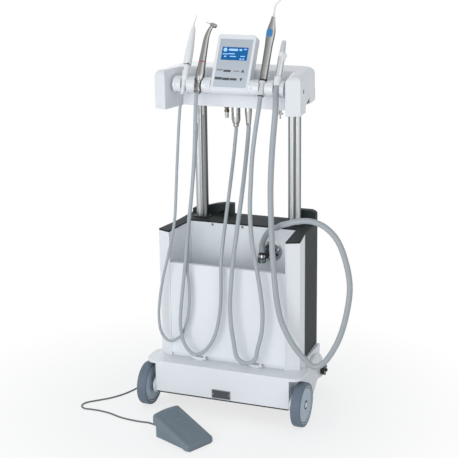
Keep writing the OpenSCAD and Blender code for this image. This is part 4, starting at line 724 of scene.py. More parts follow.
ROUTES = {
    "scaler": dict(
        d=8, points=[
            tool_end(-128, -26), tool_end(-128, -38), [-131, 30, 845], [-134, 16, 730],
            [-137, 9, 640], [-142, 6, 560], [-153, 4, 500], [-167, 3, 440], [-182, 2, 380], [-193, 2, 320],
            [-197, 2, 265], [-190, 2, 221], [-167, 4, 198], [-137, 8, 212], [-121, 10, 240], [-109, 11, 290],
            [-105, 11, 350], [-110, 13, 420], [-112, 26, 500], [-114, 56, 585], [-119, 96, 680], [-128, 138, 760],
            [-128, 145, 794], [-128, 145, 806]]),
    "motor": dict(
        d=10, points=[
            tool_end(-85, -20), tool_end(-85, -32), [-83, 28, 850], [-83, 16, 750],
            [-89, 8, 647], [-100, 4, 548], [-110, 2, 450], [-119, 0, 370], [-127, -1, 300], [-129, -2, 255],
            [-123, -2, 210], [-108, -2, 182], [-87, -1, 169], [-60, 1, 180], [-35, 4, 214], [-20, 7, 258],
            [-11, 10, 320], [-9, 12, 390], [-9, 14, 440], [-7, 26, 500], [-5, 50, 575], [-6, 84, 650],
            [-10, 124, 725], [-11, 139, 765], [-10, 145, 794], [-10, 145, 804]]),
    "syringe": dict(
        d=12, points=[
            tool_end(98, -20), tool_end(98, -34), [98, 30, 872], [93, 18, 817],
            [87, 10, 750], [84, 6, 682], [82, 3, 607], [87, 1, 523], [99, 0, 454], [111, -1, 384], [118, -2, 321],
            [116, -4, 263], [104, -6, 210], [99, -7, 185], [87, -7, 171], [70, -8, 166], [53, -8, 171],
            [41, -8, 186], [34, -7, 223], [26, -5, 273], [23, -3, 331], [26, -1, 389], [31, 2, 455], [38, 8, 517],
            [43, 17, 572], [46, 32, 625], [44, 58, 675], [37, 95, 723], [29, 132, 768], [27, 145, 798],
            [27, 145, 810]]),
    "suction": dict(
        d=16, points=[
            tool_end(139, 11), tool_end(139, -9), [145, 33, 875],
            [141, 18, 775], [139, 9, 670], [142, 4, 580], [147, 0, 490], [156, -2, 390], [168, -4, 320],
            [186, -6, 275], [212, -6, 232], [240, -4, 200], [266, -2, 180], [292, 0, 192], [318, 1, 230],
            [340, 2, 280], [356, 3, 345], [363, 5, 415], [352, 7, 480], [328, 8, 540], [292, 10, 575],
            [252, 10, 588], [214, 11, 584], [186, 13, 575], [166, 24, 566], [152, 46, 556], [136, 70, 544],
            [112, 94, 532], [88, 114, 506], [73, 126, 478], [70, 128, 462], [70, 128, 452]]),
}
# the height that splits each hose's top from its runs below, and blend values from the head to the cabinet
HOSE_SPLIT, TOP_BLEND, FRONT_BLEND_END, BACK_BLEND = 770, 0.8, 0.765, (0.40, 0.80)
# marks on the display's front: x, z, width and height
KEY_MARKS = ((-13.5, 38, 21, 6), (-35, 16.2, 20.5, 7.2), (-13.5, 15.2, 20.5, 7.2), (8, 15.2, 20, 6.4))
FOIL_FRONT, SCREEN_DISC = -18.3, (-28.4, 98, 5.4)
ARROW, ARROWS = np.array([[-4.4, -4.2], [4.4, -4.2], [0, 5]]), ((1, 31.5, 39.5), (-1, 30, 15))
KEY_FAINT = ((-35, 40.4, 18, 5), (13, 38.4, 18, 3.4))
SCREEN_LINES = (
    (-5, 98.4, 27, 6), (16, 98.6, 8, 5.4), (29, 100.6, 9, 3), (-27, 86, 16, 2.4), (-9, 87, 19, 2.6),
    (-4, 79.6, 18, 2.4), (24, 80.6, 13, 2.4), (-26, 79, 7, 3.4), (19, 72.6, 6, 3.4), (27, 73, 5, 3.4),
)


# the camera: metres; yaw, pitch and roll in degrees; film width in millimetres
CAMERA_PLACE = (1.21724, -3.0208, 1.48078)
CAMERA_TURN = (21.59, 16.01, -0.78)
SENSOR, FOCAL_PIXELS, PICTURE_PIXELS = 36, 1241.51, 458
# the studio's even light: its strength and tint
WORLD_LIGHT, WORLD_TINT = 0.6, (0.95, 0.98, 1.0, 1)
# the floor's half width in millimetres; how white it is near the unit; then in metres, the middle of that part and
# where and how softly it turns white
FLOOR_REACH, FLOOR_WHITE, FLOOR_CENTRE, FADE_EDGE = 9000, 0.72, (-0.05, 0.02), (0.6, 0.5)
# each lamp: name, place, aim, size in metres and watts
LAMPS = (
    ("key", (-0.6, -3.4, 1.1), (0, 0, 0.45), 2.6, 58),
    ("fill", (2.6, -2.0, 1.2), (0, 0.1, 0.5), 2.0, 8),
    ("rim", (-1.6, 2.2, 1.8), (0, 0, 0.6), 1.6, 8),
)


# ---------------------------------------------------------------- operators


class DentalOperator:
    """What the build steps share."""

    bl_options = {"REGISTER", "UNDO"}

    def execute(self, context):
        self.build(context.scene.dental_sizes, context.scene.dental_colours)
        return {"FINISHED"}


class DENTAL_OT_camera(DentalOperator, bpy.types.Operator):
    """Sets the camera at the photograph's viewing angle"""

    bl_idname = "dental.camera"
    bl_label = "Camera"

    def build(self, sizes, colours):
        yaw, pitch, roll = (math.radians(v) for v in CAMERA_TURN)
        forward = Vector((-math.sin(yaw) * math.cos(pitch), math.cos(yaw) * math.cos(pitch), -math.sin(pitch)))
        right = Vector((math.cos(yaw), math.sin(yaw), 0))
        up = right.cross(forward)
        turned_right = math.cos(roll) * right + math.sin(roll) * up
        turned_up = -math.sin(roll) * right + math.cos(roll) * up
        camera = bpy.data.objects.new("camera", bpy.data.cameras.new("camera"))
        bpy.context.scene.collection.objects.link(camera)
        basis = Matrix((turned_right, turned_up, -forward)).transposed().to_4x4()
        camera.matrix_world = Matrix.Translation(CAMERA_PLACE) @ basis
        camera.data.sensor_width = SENSOR
        camera.data.lens = SENSOR * FOCAL_PIXELS / PICTURE_PIXELS
        camera.data.clip_end = 60
        bpy.context.scene.camera = camera


# nodes that are darker than their slot's finish
DARK_NODES = {"casing_screws": "mark_grey", "type_plate": "mark_dark"}


class DENTAL_OT_finishes(DentalOperator, bpy.types.Operator):
    """Makes the finishes and gives each CAD node its own"""

    bl_idname = "dental.finishes"
    bl_label = "Finishes"

    def build(self, sizes, colours):
        FINISH.update(make_finishes(sizes, colours))
        for name, node in frame["nodes"].items():
            node.data.materials.clear()
            node.data.materials.append(FINISH[DARK_NODES.get(name, SLOT_OF[name])])


def hose_piece(name, line, diameter, sides, finish):
    piece = sweep(name, line, diameter / 2, sides)
    piece.data.materials.append(FINISH[finish])
    return piece


class DENTAL_OT_hoses(DentalOperator, bpy.types.Operator):
    """Hangs the four instrument hoses; each is one run in front, one run behind and a short top at its instrument"""

    bl_idname = "dental.hoses"
    bl_label = "Hoses"

    def build(self, sizes, colours):
        for key, route in ROUTES.items():
            node = f"hose_{key}"
            finish = SLOT_OF[node]
            line = smooth_route(route["points"], sizes.route_steps)
            height = line[:, 2]
            lowest = int(np.argmin(height))
            split = int(np.argmax(height < HOSE_SPLIT))
            top = hose_piece(f"hose_{key}_top", line[: split + 1], route["d"], sizes.hose_sides, finish)
            front = hose_piece(f"hose_{key}_front", line[split : lowest + 1], route["d"], sizes.hose_sides, finish)
            back = hose_piece(f"hose_{key}_back", line[lowest:], route["d"], sizes.hose_sides, finish)
            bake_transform(top)
            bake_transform(front)
            if key == "suction":
                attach(back, "chassis")
            else:
                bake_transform(back)
            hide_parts(node)
            runs = ((back, line[lowest:][::-1]), (front, line[split : lowest + 1][::-1]), (top, line[: split + 1]))
            for piece, run in runs:
                path = run * MM
                route["d"] * MM


# the pedal's frame: its turn, its hinged end's place across the unit, its front-most y and half its width
PEDAL_TURN, PEDAL_X, PEDAL_FRONT, PEDAL_HALF = math.radians(155.5), 24, -270, 47


def pedal_place(x, y, z):
    """A point of the pedal's frame, in the row frame."""
    c, s = math.cos(PEDAL_TURN), math.sin(PEDAL_TURN)
    return [PEDAL_X + x * c - y * s, PEDAL_FRONT + PEDAL_HALF * abs(c) + x * s + y * c, z]


CABLE_D, COIL_CENTRE, COIL_LEAD = 5.0, (-60, 350), 5


def coil_route():
    """The coil's centreline: a flat spiral in, half a turn of climb, and the spiral out above it."""
    turns, inner, steps = 2.5, 20.0, 48
    step, layer, low = CABLE_D * 1.3, CABLE_D * 1.13, CABLE_D * 0.4
    t = np.arange(0, 2 * turns + 0.5 + 1e-9, 1 / steps)
    outer = inner + step * turns
    r = np.where(t < turns, outer - step * t, np.where(t < turns + 0.5, inner, inner + step * (t - turns - 0.5)))
    k = np.clip((t - turns) * 2, 0, 1)
    a = math.pi / 2 - 2 * math.pi * t
    rise = low + layer * (1 - np.cos(math.pi * k)) / 2
    return np.stack([COIL_CENTRE[0] + r * np.cos(a), COIL_CENTRE[1] + r * np.sin(a), rise], -1)


class DENTAL_OT_cable(DentalOperator, bpy.types.Operator):
    """Lays the pedal's cable from its strain relief round to the socket, with the spare length coiled behind"""

    bl_idname = "dental.cable"
    bl_label = "Pedal cable"

    def build(self, sizes, colours):
        coil = coil_route()
        unit = lambda v: v / np.linalg.norm(v)
        start = coil[0] + unit(coil[0] - coil[1]) * COIL_LEAD
        end = coil[-1] + unit(coil[-1] - coil[-2]) * COIL_LEAD
        lay = CABLE_D / 2
        lead_in = [
            pedal_place(136, 0, 14), pedal_place(154, 0, 14), pedal_place(174, 1, 8), [-172, -137, 3.2],
            [-200, -137, lay], [-233, -135, lay], [-267, -129, lay], [-306, -115, lay], [-341, -109, lay],
            [-370, -109, lay], [-388, -110, lay], [-403, -101, lay], [-408, -84, lay], [-400, -66, lay],
            [-378, -44, lay], [-350, -15, lay], [-326, 25, lay], [-310, 75, lay], [-300, 130, lay],
            [-290, 185, lay], [-274, 240, lay], [-248, 290, lay], [-212, 332, lay], [-170, 364, lay],
            [-130, 381, lay], [start[0] - 25, start[1], lay], [start[0] - 10, start[1], 2.2], list(start)]
        lead_out = [
            list(end), list(end + unit(coil[-1] - coil[-2]) * 12), [-98, 315, 6], [-115, 320, 12], [-123, 327, 28],
            [-125, 333, 50], [-124, 331, 75], [-121, 321, 92], [-120, 308, 98], [-120, 296, 98]]
        line = np.concatenate([smooth_route(lead_in, 8)[:-1], coil, smooth_route(lead_out, 8)[1:]])
        line[:, 2] = np.maximum(line[:, 2], lay + 0.05)
        cable = sweep("pedal_cable_run", line, lay, 12)
        finished(cable, "chassis", "cable_grey", ["pedal_cable", "pedal_cable_coil"])
        plug = softened("cable_plug", 0.8 * sizes.edge, 2)


class DENTAL_OT_housings(DentalOperator, bpy.types.Operator):
    """Rounds the edges of the moulded and pressed housings"""

    bl_idname = "dental.housings"
    bl_label = "Housings"

    def build(self, sizes, colours):
        for node, width in {
            "base_housing": 2.2, "body_casing": 1.0, "rear_shell": 1.2, "top_trim": 0.8, "front_flap": 0.9,
            "head_shell": 1.2, "side_legs": 1.2, "base_plate": 0.8, "recess_panel": 0.6,
            "flap_hinges": 0.5, "column_sleeves": 0.8, "leg_knob_left": 1.2, "leg_knob_right": 1.2,
            "pedal_base": 1.2, "instrument_holders": 0.7, "display_housing": 2.6,
            "rubber_soles": 0.6, "suction_socket": 0.6, "head_underplate": 0.6,
        }.items():
            softened(node, width * sizes.edge)


# halves of the wheel's profiles, [radius, distance from its middle]
TYRE_HALF = [[1, 11], [54.2, 11], [54.2, 13.4], [55, 14], [59, 14], [61, 13.2], [62.2, 11], [62.5, 8]]
RIM_HALF = [
    [1, 11.9], [12.4, 11.9], [13, 12.6], [20, 12.9], [48.4, 12.6], [48.9, 11.4], [50.3, 11.4], [50.7, 12.9],
    [51.2, 13.3], [52.6, 13.3], [53.1, 12.8], [53.5, 9]]
WHEEL_RING = [[51.3, 12.2], [53.4, 12.2], [53.6, 13.5], [53.1, 13.9], [51.7, 13.9], [51.2, 13.5], [51.3, 12.2]]
WHEEL_CAP = [[1, 11.8], [8.4, 11.8], [8.6, 12.7], [5.6, 12.9], [5.2, 13.8], [2.6, 13.9], [2.2, 13.2], [0.6, 13.2]]
WHEEL_SIDES = 96


def both_sides(half):
    return [[r, -z] for r, z in half] + half[::-1]


class DENTAL_OT_wheels(DentalOperator, bpy.types.Operator):
    """Turns the two wheels with their tyres, rings and cap nuts"""

    bl_idname = "dental.wheels"
    bl_label = "Wheels"

    def build(self, sizes, colours):
        for side in ("left", "right"):
            node = f"tyre_{side}"
            low, high = corners_of(node)
            middle, body = (low + high) / 2, BODY_OF[node]
            turned_to = lambda sign: lambda p: np.asarray(p)[:, [2, 1, 0]] * (sign, 1, -sign) + middle
            tyre = lathe(f"tyre_{side}_turned", both_sides(TYRE_HALF), WHEEL_SIDES, turned_to(1))
            finished(tyre, body, "tyre_grey", [node])
            rim = lathe(f"wheel_face_{side}", both_sides(RIM_HALF), WHEEL_SIDES, turned_to(1))
            finished(rim, body, "rim_blue")
            rings = [lathe("ring", WHEEL_RING, WHEEL_SIDES, turned_to(sign)) for sign in (1, -1)]
            finished(joined(f"wheel_rings_{side}", rings), body, "rim_blue", finish="ring_pale")
            nuts = [lathe("nut", WHEEL_CAP, 24, turned_to(sign)) for sign in (1, -1)]
            finished(joined(f"wheel_caps_{side}", nuts), body, "steel", finish="dark_steel")


# the pedal cover's length, heights at its low and high ends, wall, and lower edge: its height in front, where it
# starts to rise and how far it rises
PEDAL_LENGTH, PEDAL_LOW, PEDAL_HIGH, PEDAL_WALL = 148.0, 18.0, 70.0, 3.0
HEM_LOW, HEM_FLAT, HEM_RISE = 3, 14, 37
# radii of the ends, shoulders and corners; how far the ends bow; the crown in front and what it gains to the rear
END_R, REAR_R, SHOULDER_R, CORNER_R, BOW, CROWN, CROWN_GAIN = 5, 6, 5.5, 6, 3, 1.2, 1.6
# the sunk panel: its distance from both ends, half width, corner radius, slope and depth
PANEL_FRONT, PANEL_REAR, PANEL_HALF, PANEL_R, PANEL_SLOPE, PANEL_DEEP = 13, 16, 34, 10, 2.2, 1.5
# the ribs' distances from the rear end, half length, half width, height and how much they bend
RIBS_AT, RIB_HALF, RIB_WIDE, RIB_HIGH, RIB_BEND = (21, 36, 51, 66), 24, 2.6, 1.7, 0.006
# widths of the slopes at the panel's corners, the ribs' sides and their ends
CORNER_SLOPE, RIB_SLOPE, RIB_END = 1.6, 1.2, 3


def fall(distance, radius):
    """How far a quarter-round edge has dropped at a distance from its end."""
    return radius - np.sqrt(np.clip(radius * radius - np.clip(radius - distance, 0, radius) ** 2, 0, None))


def pedal_top(x, y):
    """Height of the cover's top: low + rise x - crown (y / half)^2 - panel + ribs - the rounded ends and shoulders."""
    inward = np.minimum.reduce([x - PANEL_FRONT, PEDAL_LENGTH - PANEL_REAR - x, PANEL_HALF - np.abs(y)])
    panel = np.clip(inward / PANEL_SLOPE, 0, 1)
    beside = np.clip(np.abs(y) - PANEL_HALF + PANEL_R, 0, None)
    from_corner = np.hypot(np.clip(PANEL_FRONT + PANEL_R - x, 0, None), beside)
    panel = panel * np.clip((PANEL_R - from_corner) / CORNER_SLOPE, 0, 1)
    from_ribs = [np.abs(x - (PEDAL_LENGTH - at) + RIB_BEND * y * y) for at in RIBS_AT]
    ribs = sum(np.clip((RIB_WIDE - away) / RIB_SLOPE, 0, 1) for away in from_ribs)
    ribs = ribs * np.clip((RIB_HALF - np.abs(y)) / RIB_END, 0, 1)
    top = PEDAL_LOW + (PEDAL_HIGH - PEDAL_LOW) / PEDAL_LENGTH * x
    top = top - (CROWN + CROWN_GAIN * x / PEDAL_LENGTH) * (y / PEDAL_HALF) ** 2 - PANEL_DEEP * panel + RIB_HIGH * ribs
    return top - fall(PEDAL_HALF - np.abs(y), SHOULDER_R) - fall(x, END_R) - fall(PEDAL_LENGTH - x, REAR_R)


def pedal_shell():
    """The pedal's cover, an open-bottomed wedge. Each ring across it runs over the outside and back along the inside;
    at both ends the inside falls to the lower edge."""
    ends = fall(np.linspace(0, END_R, 7), END_R)
    xs = np.unique(np.concatenate([ends, np.linspace(END_R, PEDAL_LENGTH - END_R, 116), PEDAL_LENGTH - ends]))
    over = np.linspace(-1, 1, 81)
    y = PEDAL_HALF * np.sign(over) * (1 - (1 - np.abs(over)) ** 1.12)
    x, y = np.meshgrid(xs, y, indexing="ij")
    bottom = HEM_LOW + np.clip(x - HEM_FLAT, 0, None) * HEM_RISE / (PEDAL_LENGTH - HEM_FLAT)
    top = np.maximum(pedal_top(x, y), bottom + 1)
    narrow = 1 - (fall(x, CORNER_R) + fall(PEDAL_LENGTH - x, END_R)) / PEDAL_HALF
    bow = BOW * (y / PEDAL_HALF) ** 2
    bowed = bow + (x / PEDAL_LENGTH) * (PEDAL_LENGTH - 2 * bow)
    outer = np.stack([bowed, y * narrow, top], -1)
    hem = np.stack([bowed, y * narrow, bottom], -1)
    hollow = (x[:, :1] > PEDAL_WALL) & (x[:, :1] < PEDAL_LENGTH - PEDAL_WALL)
    under = np.maximum(np.where(hollow, top - PEDAL_WALL / 2, bottom), bottom)
    inner = np.stack([np.where(hollow, x, bowed), y * (PEDAL_HALF - PEDAL_WALL) / PEDAL_HALF, under], -1)
    rings = np.concatenate([hem[:, :1], outer, hem[:, -1:], inner[:, ::-1]], 1)
    rows, columns = rings.shape[:2]
    points = np.stack(pedal_place(*rings.reshape(-1, 3).T), -1)
    return mesh_object("pedal_cover_moulded", points, net(rows, columns).tolist() + caps(rows, columns), sharp=50)


class DENTAL_OT_pedal(DentalOperator, bpy.types.Operator):
    """Moulds the pedal's cover with its crown, rounded ends, bordered panel and ribs"""

    bl_idname = "dental.pedal"
    bl_label = "Pedal"

    def build(self, sizes, colours):
        finished(pedal_shell(), BODY_OF["pedal_cover"], SLOT_OF["pedal_cover"], ["pedal_cover"])


class DENTAL_OT_display(DentalOperator, bpy.types.Operator):
    """Adds the screen's graphics and the marks of the keypad"""

    bl_idname = "dental.display"
    bl_label = "Display"

    def build(self, sizes, colours):
        marks, pale, glow = [], [], []

        def add(where, outline, proud):
            where.append(slab(outline, FOIL_FRONT - proud, FOIL_FRONT + 0.6, on_display, "mark"))

        for x0, z, w, h in KEY_MARKS:
            add(marks, rounded_bar(x0, z, w, h, 1.2), 0.2)
        for x0, z, w, h in KEY_FAINT:
            add(pale, rounded_bar(x0, z, w, h, 0.8), 0.12)
        for tip, x0, z in ARROWS:
            add(marks, ARROW * (1, tip) + (x0, z), 0.2)
        finished(joined("keypad_marks", marks), "display", "foil_grey", finish="mark_dark")
        finished(joined("keypad_faint_marks", pale), "display", "foil_grey", finish="mark_grey")
        add(glow, disc(*SCREEN_DISC), 0.05)
        for x0, z, w, h in SCREEN_LINES:
            add(glow, rounded_bar(x0, z, w, h), 0.05)
        finished(joined("screen_graphics", glow), "display", "lcd_blue", finish="mark_pale")


# set screws in the bar: place along it and angle below its front; their profile
BAR_RADIUS = 22.5
BAR_SCREWS = ((-150, -62), (-139, -64), (-117, -62), (-64, -62), (77, -60), (150, -62))
SCREW = [[0.5, -0.9], [2.2, -0.9], [2.3, 0.12], [1.9, 0.3], [1.2, 0.3], [1.1, -0.2], [0.4, -0.2]]
# the suction elbow: its link's route and radius, its ball and the upright nut, with the rows that ribs raise
ELBOW_LINK = ((88, 164, 446), (88, 156, 446), (86, 149, 444), (79, 139, 438), (72, 130, 432), (70, 128, 431))
LINK_RADIUS, BALL_RADIUS, BALL_Z, BALL_PLACE, NUT_PLACE = 7.6, 9, 446, (88, 152), (70, 128)
NUT_RIBS, RIB_DEPTH = 11, 1.1
ELBOW_NUT = [
    [6, 419.4, 0], [10, 419.6, 0], [11, 420.6, 0], [11, 421.4, 1], [11, 430.5, 1], [11, 431.4, 0], [9.6, 431.8, 0],
    [9.6, 433, 0], [11, 433.4, 0], [11, 434, 1], [11, 442, 1], [10.6, 443.4, 0], [8.4, 444.2, 0], [8.3, 446, 0]]
NUT_SEAL = [[9.7, 431.6], [12.3, 431.8], [12.3, 433.2], [9.7, 433.4]]
NUT_BARB = [[8, 444.6], [9.4, 444.8], [9.4, 447.6], [8.6, 448]]
# a black plate behind the notch of the head's right wall, painted shade standing for the dark inside: y and z, its
# depth below the wall's outside and thickness
NOTCH_SHADE_PLATE, NOTCH_DEEP, NOTCH_THICK = [[132, 879], [214, 879], [214, 912], [132, 912]], 14, 1
# the type plate's border: inset, width and how far it stands out; the rivets' inset and radius
BORDER_IN, BORDER_W, BORDER_OUT, RIVET_IN, RIVET_R = 1.1, 0.9, 0.25, 4.2, 1.5


def on_bar_skin(x, angle):
    """Places points on the bar's surface: x along the bar, z out of it, at an angle below its front."""
    a = math.radians(angle)
    out = np.array([0, -math.cos(a), math.sin(a)])
    basis = np.stack([[1, 0, 0], np.cross(out, [1, 0, 0]), out])
    return lambda p: np.asarray(p) @ basis + np.array([x, BAR_Y, BAR_Z]) + BAR_RADIUS * out


def ribbed(name, profile, ribs, depth, place):
    """A turned nut with upright ribs: rings of radius r, or r + depth at every other four points on the raised rows."""
    p = np.asarray(profile, float)
    n = ribs * 8
    a = np.linspace(0, 2 * np.pi, n, endpoint=False)
    crest = np.where((np.arange(n) // 4) % 2 == 0, depth, 0.0)
    radius = p[:, 0:1] + p[:, 2:3] * crest[None]
    points = np.stack([radius * np.cos(a), radius * np.sin(a), np.repeat(p[:, 1:2], n, 1)], -1).reshape(-1, 3)
    uv = np.tile(np.stack([np.cos(a), np.sin(a)], -1), (len(p), 1))
    return mesh_object(name, place(points), net(len(p), n).tolist() + caps(len(p), n), uv)


class DENTAL_OT_details(DentalOperator, bpy.types.Operator):
    """Adds the bar's set screws, the suction elbow with its ribbed nut, a black sheet of painted shade behind the notch
    and the plate's border
    """

    bl_idname = "dental.details"
    bl_label = "Details"

    def build(self, sizes, colours):
        screws = [lathe("screw", SCREW, 20, on_bar_skin(x, angle)) for x, angle in BAR_SCREWS]
        bar_body = BODY_OF["instrument_holders"]
        finished(joined("bar_set_screws", screws), bar_body, SLOT_OF["bar_shaft"], finish="mark_dark")
        self.elbow()
        _, high = corners_of("head_shell")
        deep = high[0] - NOTCH_DEEP
        sideways = lambda p: np.asarray(p)[:, [1, 0, 2]]
        # painted shade: a black sheet inside the head behind the notch
        shade_plate = slab(NOTCH_SHADE_PLATE, deep, deep + NOTCH_THICK, sideways, "head_notch_backing")
        finished(shade_plate, "head", "plastic_black")
        self.plate_border()

    def elbow(self):
        link = sweep("elbow_link", smooth_route(ELBOW_LINK, 5), LINK_RADIUS, 28)
        around = np.linspace(0.1, math.pi - 0.1, 18)
        ball_profile = np.stack([BALL_RADIUS * np.sin(around), BALL_Z - BALL_RADIUS * np.cos(around)], -1)
        ball = lathe("elbow_ball", ball_profile, 32, upright(*BALL_PLACE))
        elbow = joined("suction_elbow_link", [link, ball])
        finished(elbow, "chassis", "plastic_black", ["suction_elbow"])
        nut = ribbed("suction_elbow_nut", ELBOW_NUT, NUT_RIBS, RIB_DEPTH, upright(*NUT_PLACE))
        finished(nut, "chassis", "chrome", finish="polished")
        seals = [lathe("seal", profile, 40, upright(*NUT_PLACE)) for profile in (NUT_SEAL, NUT_BARB)]
        finished(joined("suction_elbow_seals", seals), "chassis", "plastic_black")

    def plate_border(self):
        low, high = corners_of("type_plate")
        (x, _, z), (w, _, h) = (low + high) / 2, high - low
        place = lambda p: np.asarray(p) + np.array([x, low[1], z])
        far_x, far_z = w / 2 - BORDER_IN, h / 2 - BORDER_IN
        bars = ((0, far_z, w - 2, BORDER_W), (0, -far_z, w - 2, BORDER_W), (-far_x, 0, BORDER_W, h - 2),
                (far_x, 0, BORDER_W, h - 2))
        edge = [slab(rounded_bar(*bar, 0.3), -BORDER_OUT, 0.2, place, "edge") for bar in bars]
        for side in (-1, 1):
            outline = disc(side * (w / 2 - RIVET_IN), 0, RIVET_R, 16)
            edge.append(pad("rivet", outline, [[0.2, 1], [-0.3, 1], [-0.6, 0.6]], place))
        finished(joined("type_plate_border", edge), "chassis", SLOT_OF["type_plate"], finish="plate_grey")


# couplings under the head: name, place across the unit, slot, finish and profile of [radius, height]
COUPLING_TOP, COUPLING_Y, TAP_X, LEVER_Z = 878, 145, 120, 846
COUPLINGS = (
    ("coupling_scaler", -128, "holder_white", "holder_white", [
        [7.4, 806], [8.2, 806.8], [8.2, 811.6], [9.2, 812.2], [9.5, 813], [9.5, 814.2], [9.2, 815], [8.3, 815.6],
        [8.5, 818], [8.5, COUPLING_TOP]]),
    ("coupling_scaler_collar", -128, "chrome", "mark_dark", [[8.55, 869], [8.9, 869.3], [8.9, 873], [8.55, 873.3]]),
    ("coupling_motor", -10, "chrome", "polished", [
        [6.4, 804], [7.6, 804.4], [8, 805.2], [8, 810], [9.4, 811.4], [12, 821], [12.5, 823], [12.5, 838],
        [11.9, 838.5], [11.9, 840], [12.5, 840.5], [12.5, 872], [11.8, 872.6], [11.8, COUPLING_TOP]]),
    ("coupling_motor_end", -10, "chrome", "mark_dark", [[5.6, 803], [7.2, 803], [7.3, 804.6], [5.6, 804.6]]),
    ("coupling_syringe", 27, "chrome", "polished", [
        [6.3, 816], [7.2, 816], [9.8, 845], [10, 847.4], [10, 870], [9.5, 870.5], [9.5, COUPLING_TOP]]),
    ("coupling_syringe_end", 27, "chrome", "dark_steel", [[6.2, 810], [6.9, 810.4], [7.2, 815.9], [6.2, 815.9]]),
    ("coupling_stub", -109, "chrome", "dark_steel", [[4.4, 830], [5, 830.6], [5, COUPLING_TOP]]),
    ("coupling_water", -37, "chrome", "brown_brass", [
        [4.9, 842], [6.9, 842.4], [7, 848], [5.6, 849.2], [5.6, 852], [7, 853.4], [7, 864], [6.2, 865],
        [6.2, COUPLING_TOP]]),
    ("coupling_water_end", -37, "chrome", "plate_grey", [
        [4.4, 826], [5.3, 826.6], [5.5, 828], [5.5, 834], [5.1, 834.4], [5.1, 836], [5.5, 836.4], [5.5, 841.9],
        [4.9, 841.9]]),
    ("tap_stem", TAP_X, "chrome", "dark_steel", [
        [4.1, 852], [4.5, 852.4], [4.5, 866], [5.4, 866.6], [5.4, 870], [4.5, 870.6], [4.5, COUPLING_TOP]]),
)
# the tap's spout by height and its lever by place across, each with its radius
TAP_SPOUT = ((846, 2.5), (838, 2.5), (832.6, 2.3), (831.8, 1.7))
TAP_LEVER = ((111.2, 1.2), (111.7, 2.1), (113, 2.5), (127, 2.5), (128.3, 2.1), (128.8, 1.2))
TAP_BARREL = [[3.4, 843.8], [4, 844.4], [4, 851], [3.6, 851.8]]


class DENTAL_OT_couplings(DentalOperator, bpy.types.Operator):
    """Turns the couplings under the head: white sleeve, two chromed ones, the water coupling, a stub and the tap"""

    bl_idname = "dental.couplings"
    bl_label = "Couplings"

    def build(self, sizes, colours):
        for name, x, slot, finish, profile in COUPLINGS:
            stands_for = ["hose_couplings"] if name == "coupling_scaler" else ()
            finished(lathe(name, profile, place=upright(x, COUPLING_Y)), "head", slot, stands_for, finish)
        spout = sweep("tap_spout", [[TAP_X, COUPLING_Y, z] for z, _ in TAP_SPOUT], [r for _, r in TAP_SPOUT], 20)
        barrel = lathe("tap_barrel", TAP_BARREL, 40, upright(TAP_X, COUPLING_Y))
        lever = sweep("tap_lever", [[x, COUPLING_Y, LEVER_Z] for x, _ in TAP_LEVER], [r for _, r in TAP_LEVER], 24)
        tap = joined("spray_tap_finished", [spout, barrel, lever])
        finished(tap, BODY_OF["spray_tap"], SLOT_OF["spray_tap"], ["spray_tap"], "dark_steel")


# the instruments' places along the bar
SCALER_X, MOTOR_X, SYRINGE_X, SUCTION_X = -128, -85, 98, 139
SCALER_TURNED = (
    ("scaler_body", "tool_white", [
        [9.2, 60.6], [10.9, 61], [11.4, 62.4], *eased([[11.5, 66], [11.5, 90], [9.9, 118], [7.5, 150], [5.2, 166]]),
        [4.6, 168], [2.6, 168.2]]),
    ("scaler_seam", "mark_grey", [[9.5, 58], [9.9, 58.2], [9.9, 60.5], [9.5, 60.6]]),
    ("scaler_sleeve", "tool_white", [
        [4.3, -26], [4.8, -25.6], *eased([[5.3, -12], [5.7, -4], [7.4, 10]]), [7.4, 14], [8.9, 14.4], [9.5, 15.6],
        [9.5, 30], [10.3, 56], [10.2, 57.8], [9.4, 58]]),
)
# small raised marks: name, x, z, width, height and the shoulders' [depth, scale]
SCALER_MARKS = (
    ("scaler_seam_key", 5.6, 60, 4.6, 5.4, [[-8.3, 1], [-9.6, 1], [-9.9, 0.86]]),
    ("scaler_sleeve_mark", -6.4, 46, 2.6, 7, [[-7, 1], [-8.2, 1], [-8.4, 0.9]]),
)
SCALER_TIP = ((0, 0, 160), (0, 0, 169), (0, 0, 178), (0.8, 0, 187), (2.9, 0, 196), (2.5, 0, 201), (-1.2, 0, 205))
SCALER_TIP_RADII = ((160, 168, 169, 172.4, 173, 186, 198, 205), (2, 2, 2.4, 2.4, 1.6, 1.2, 0.8, 0.3))


class DENTAL_OT_scaler(DentalOperator, bpy.types.Operator):
    """Turns the scaler: pale body, dark seam ring, pale coupling sleeve and the bent metal tip"""

    bl_idname = "dental.scaler"
    bl_label = "Scaler"

    def build(self, sizes, colours):
        place, node = on_bar(SCALER_X), "scaler_handpiece"
        turned_pieces(node, place, SCALER_TURNED)
        for name, x, z, w, h, shoulders in SCALER_MARKS:
            mark = pad(name, rounded_bar(x, z, w, h, 1.1), shoulders, place)
            finished(mark, BODY_OF[node], SLOT_OF[node], finish="mark_dark")
        line = smooth_route(SCALER_TIP, 6)
        tip = sweep("scaler_tip_bent", place(line), np.interp(line[:, 2], *SCALER_TIP_RADII), 24)
        finished(tip, BODY_OF["scaler_tip"], SLOT_OF["scaler_tip"], ["scaler_tip"], "dark_steel")


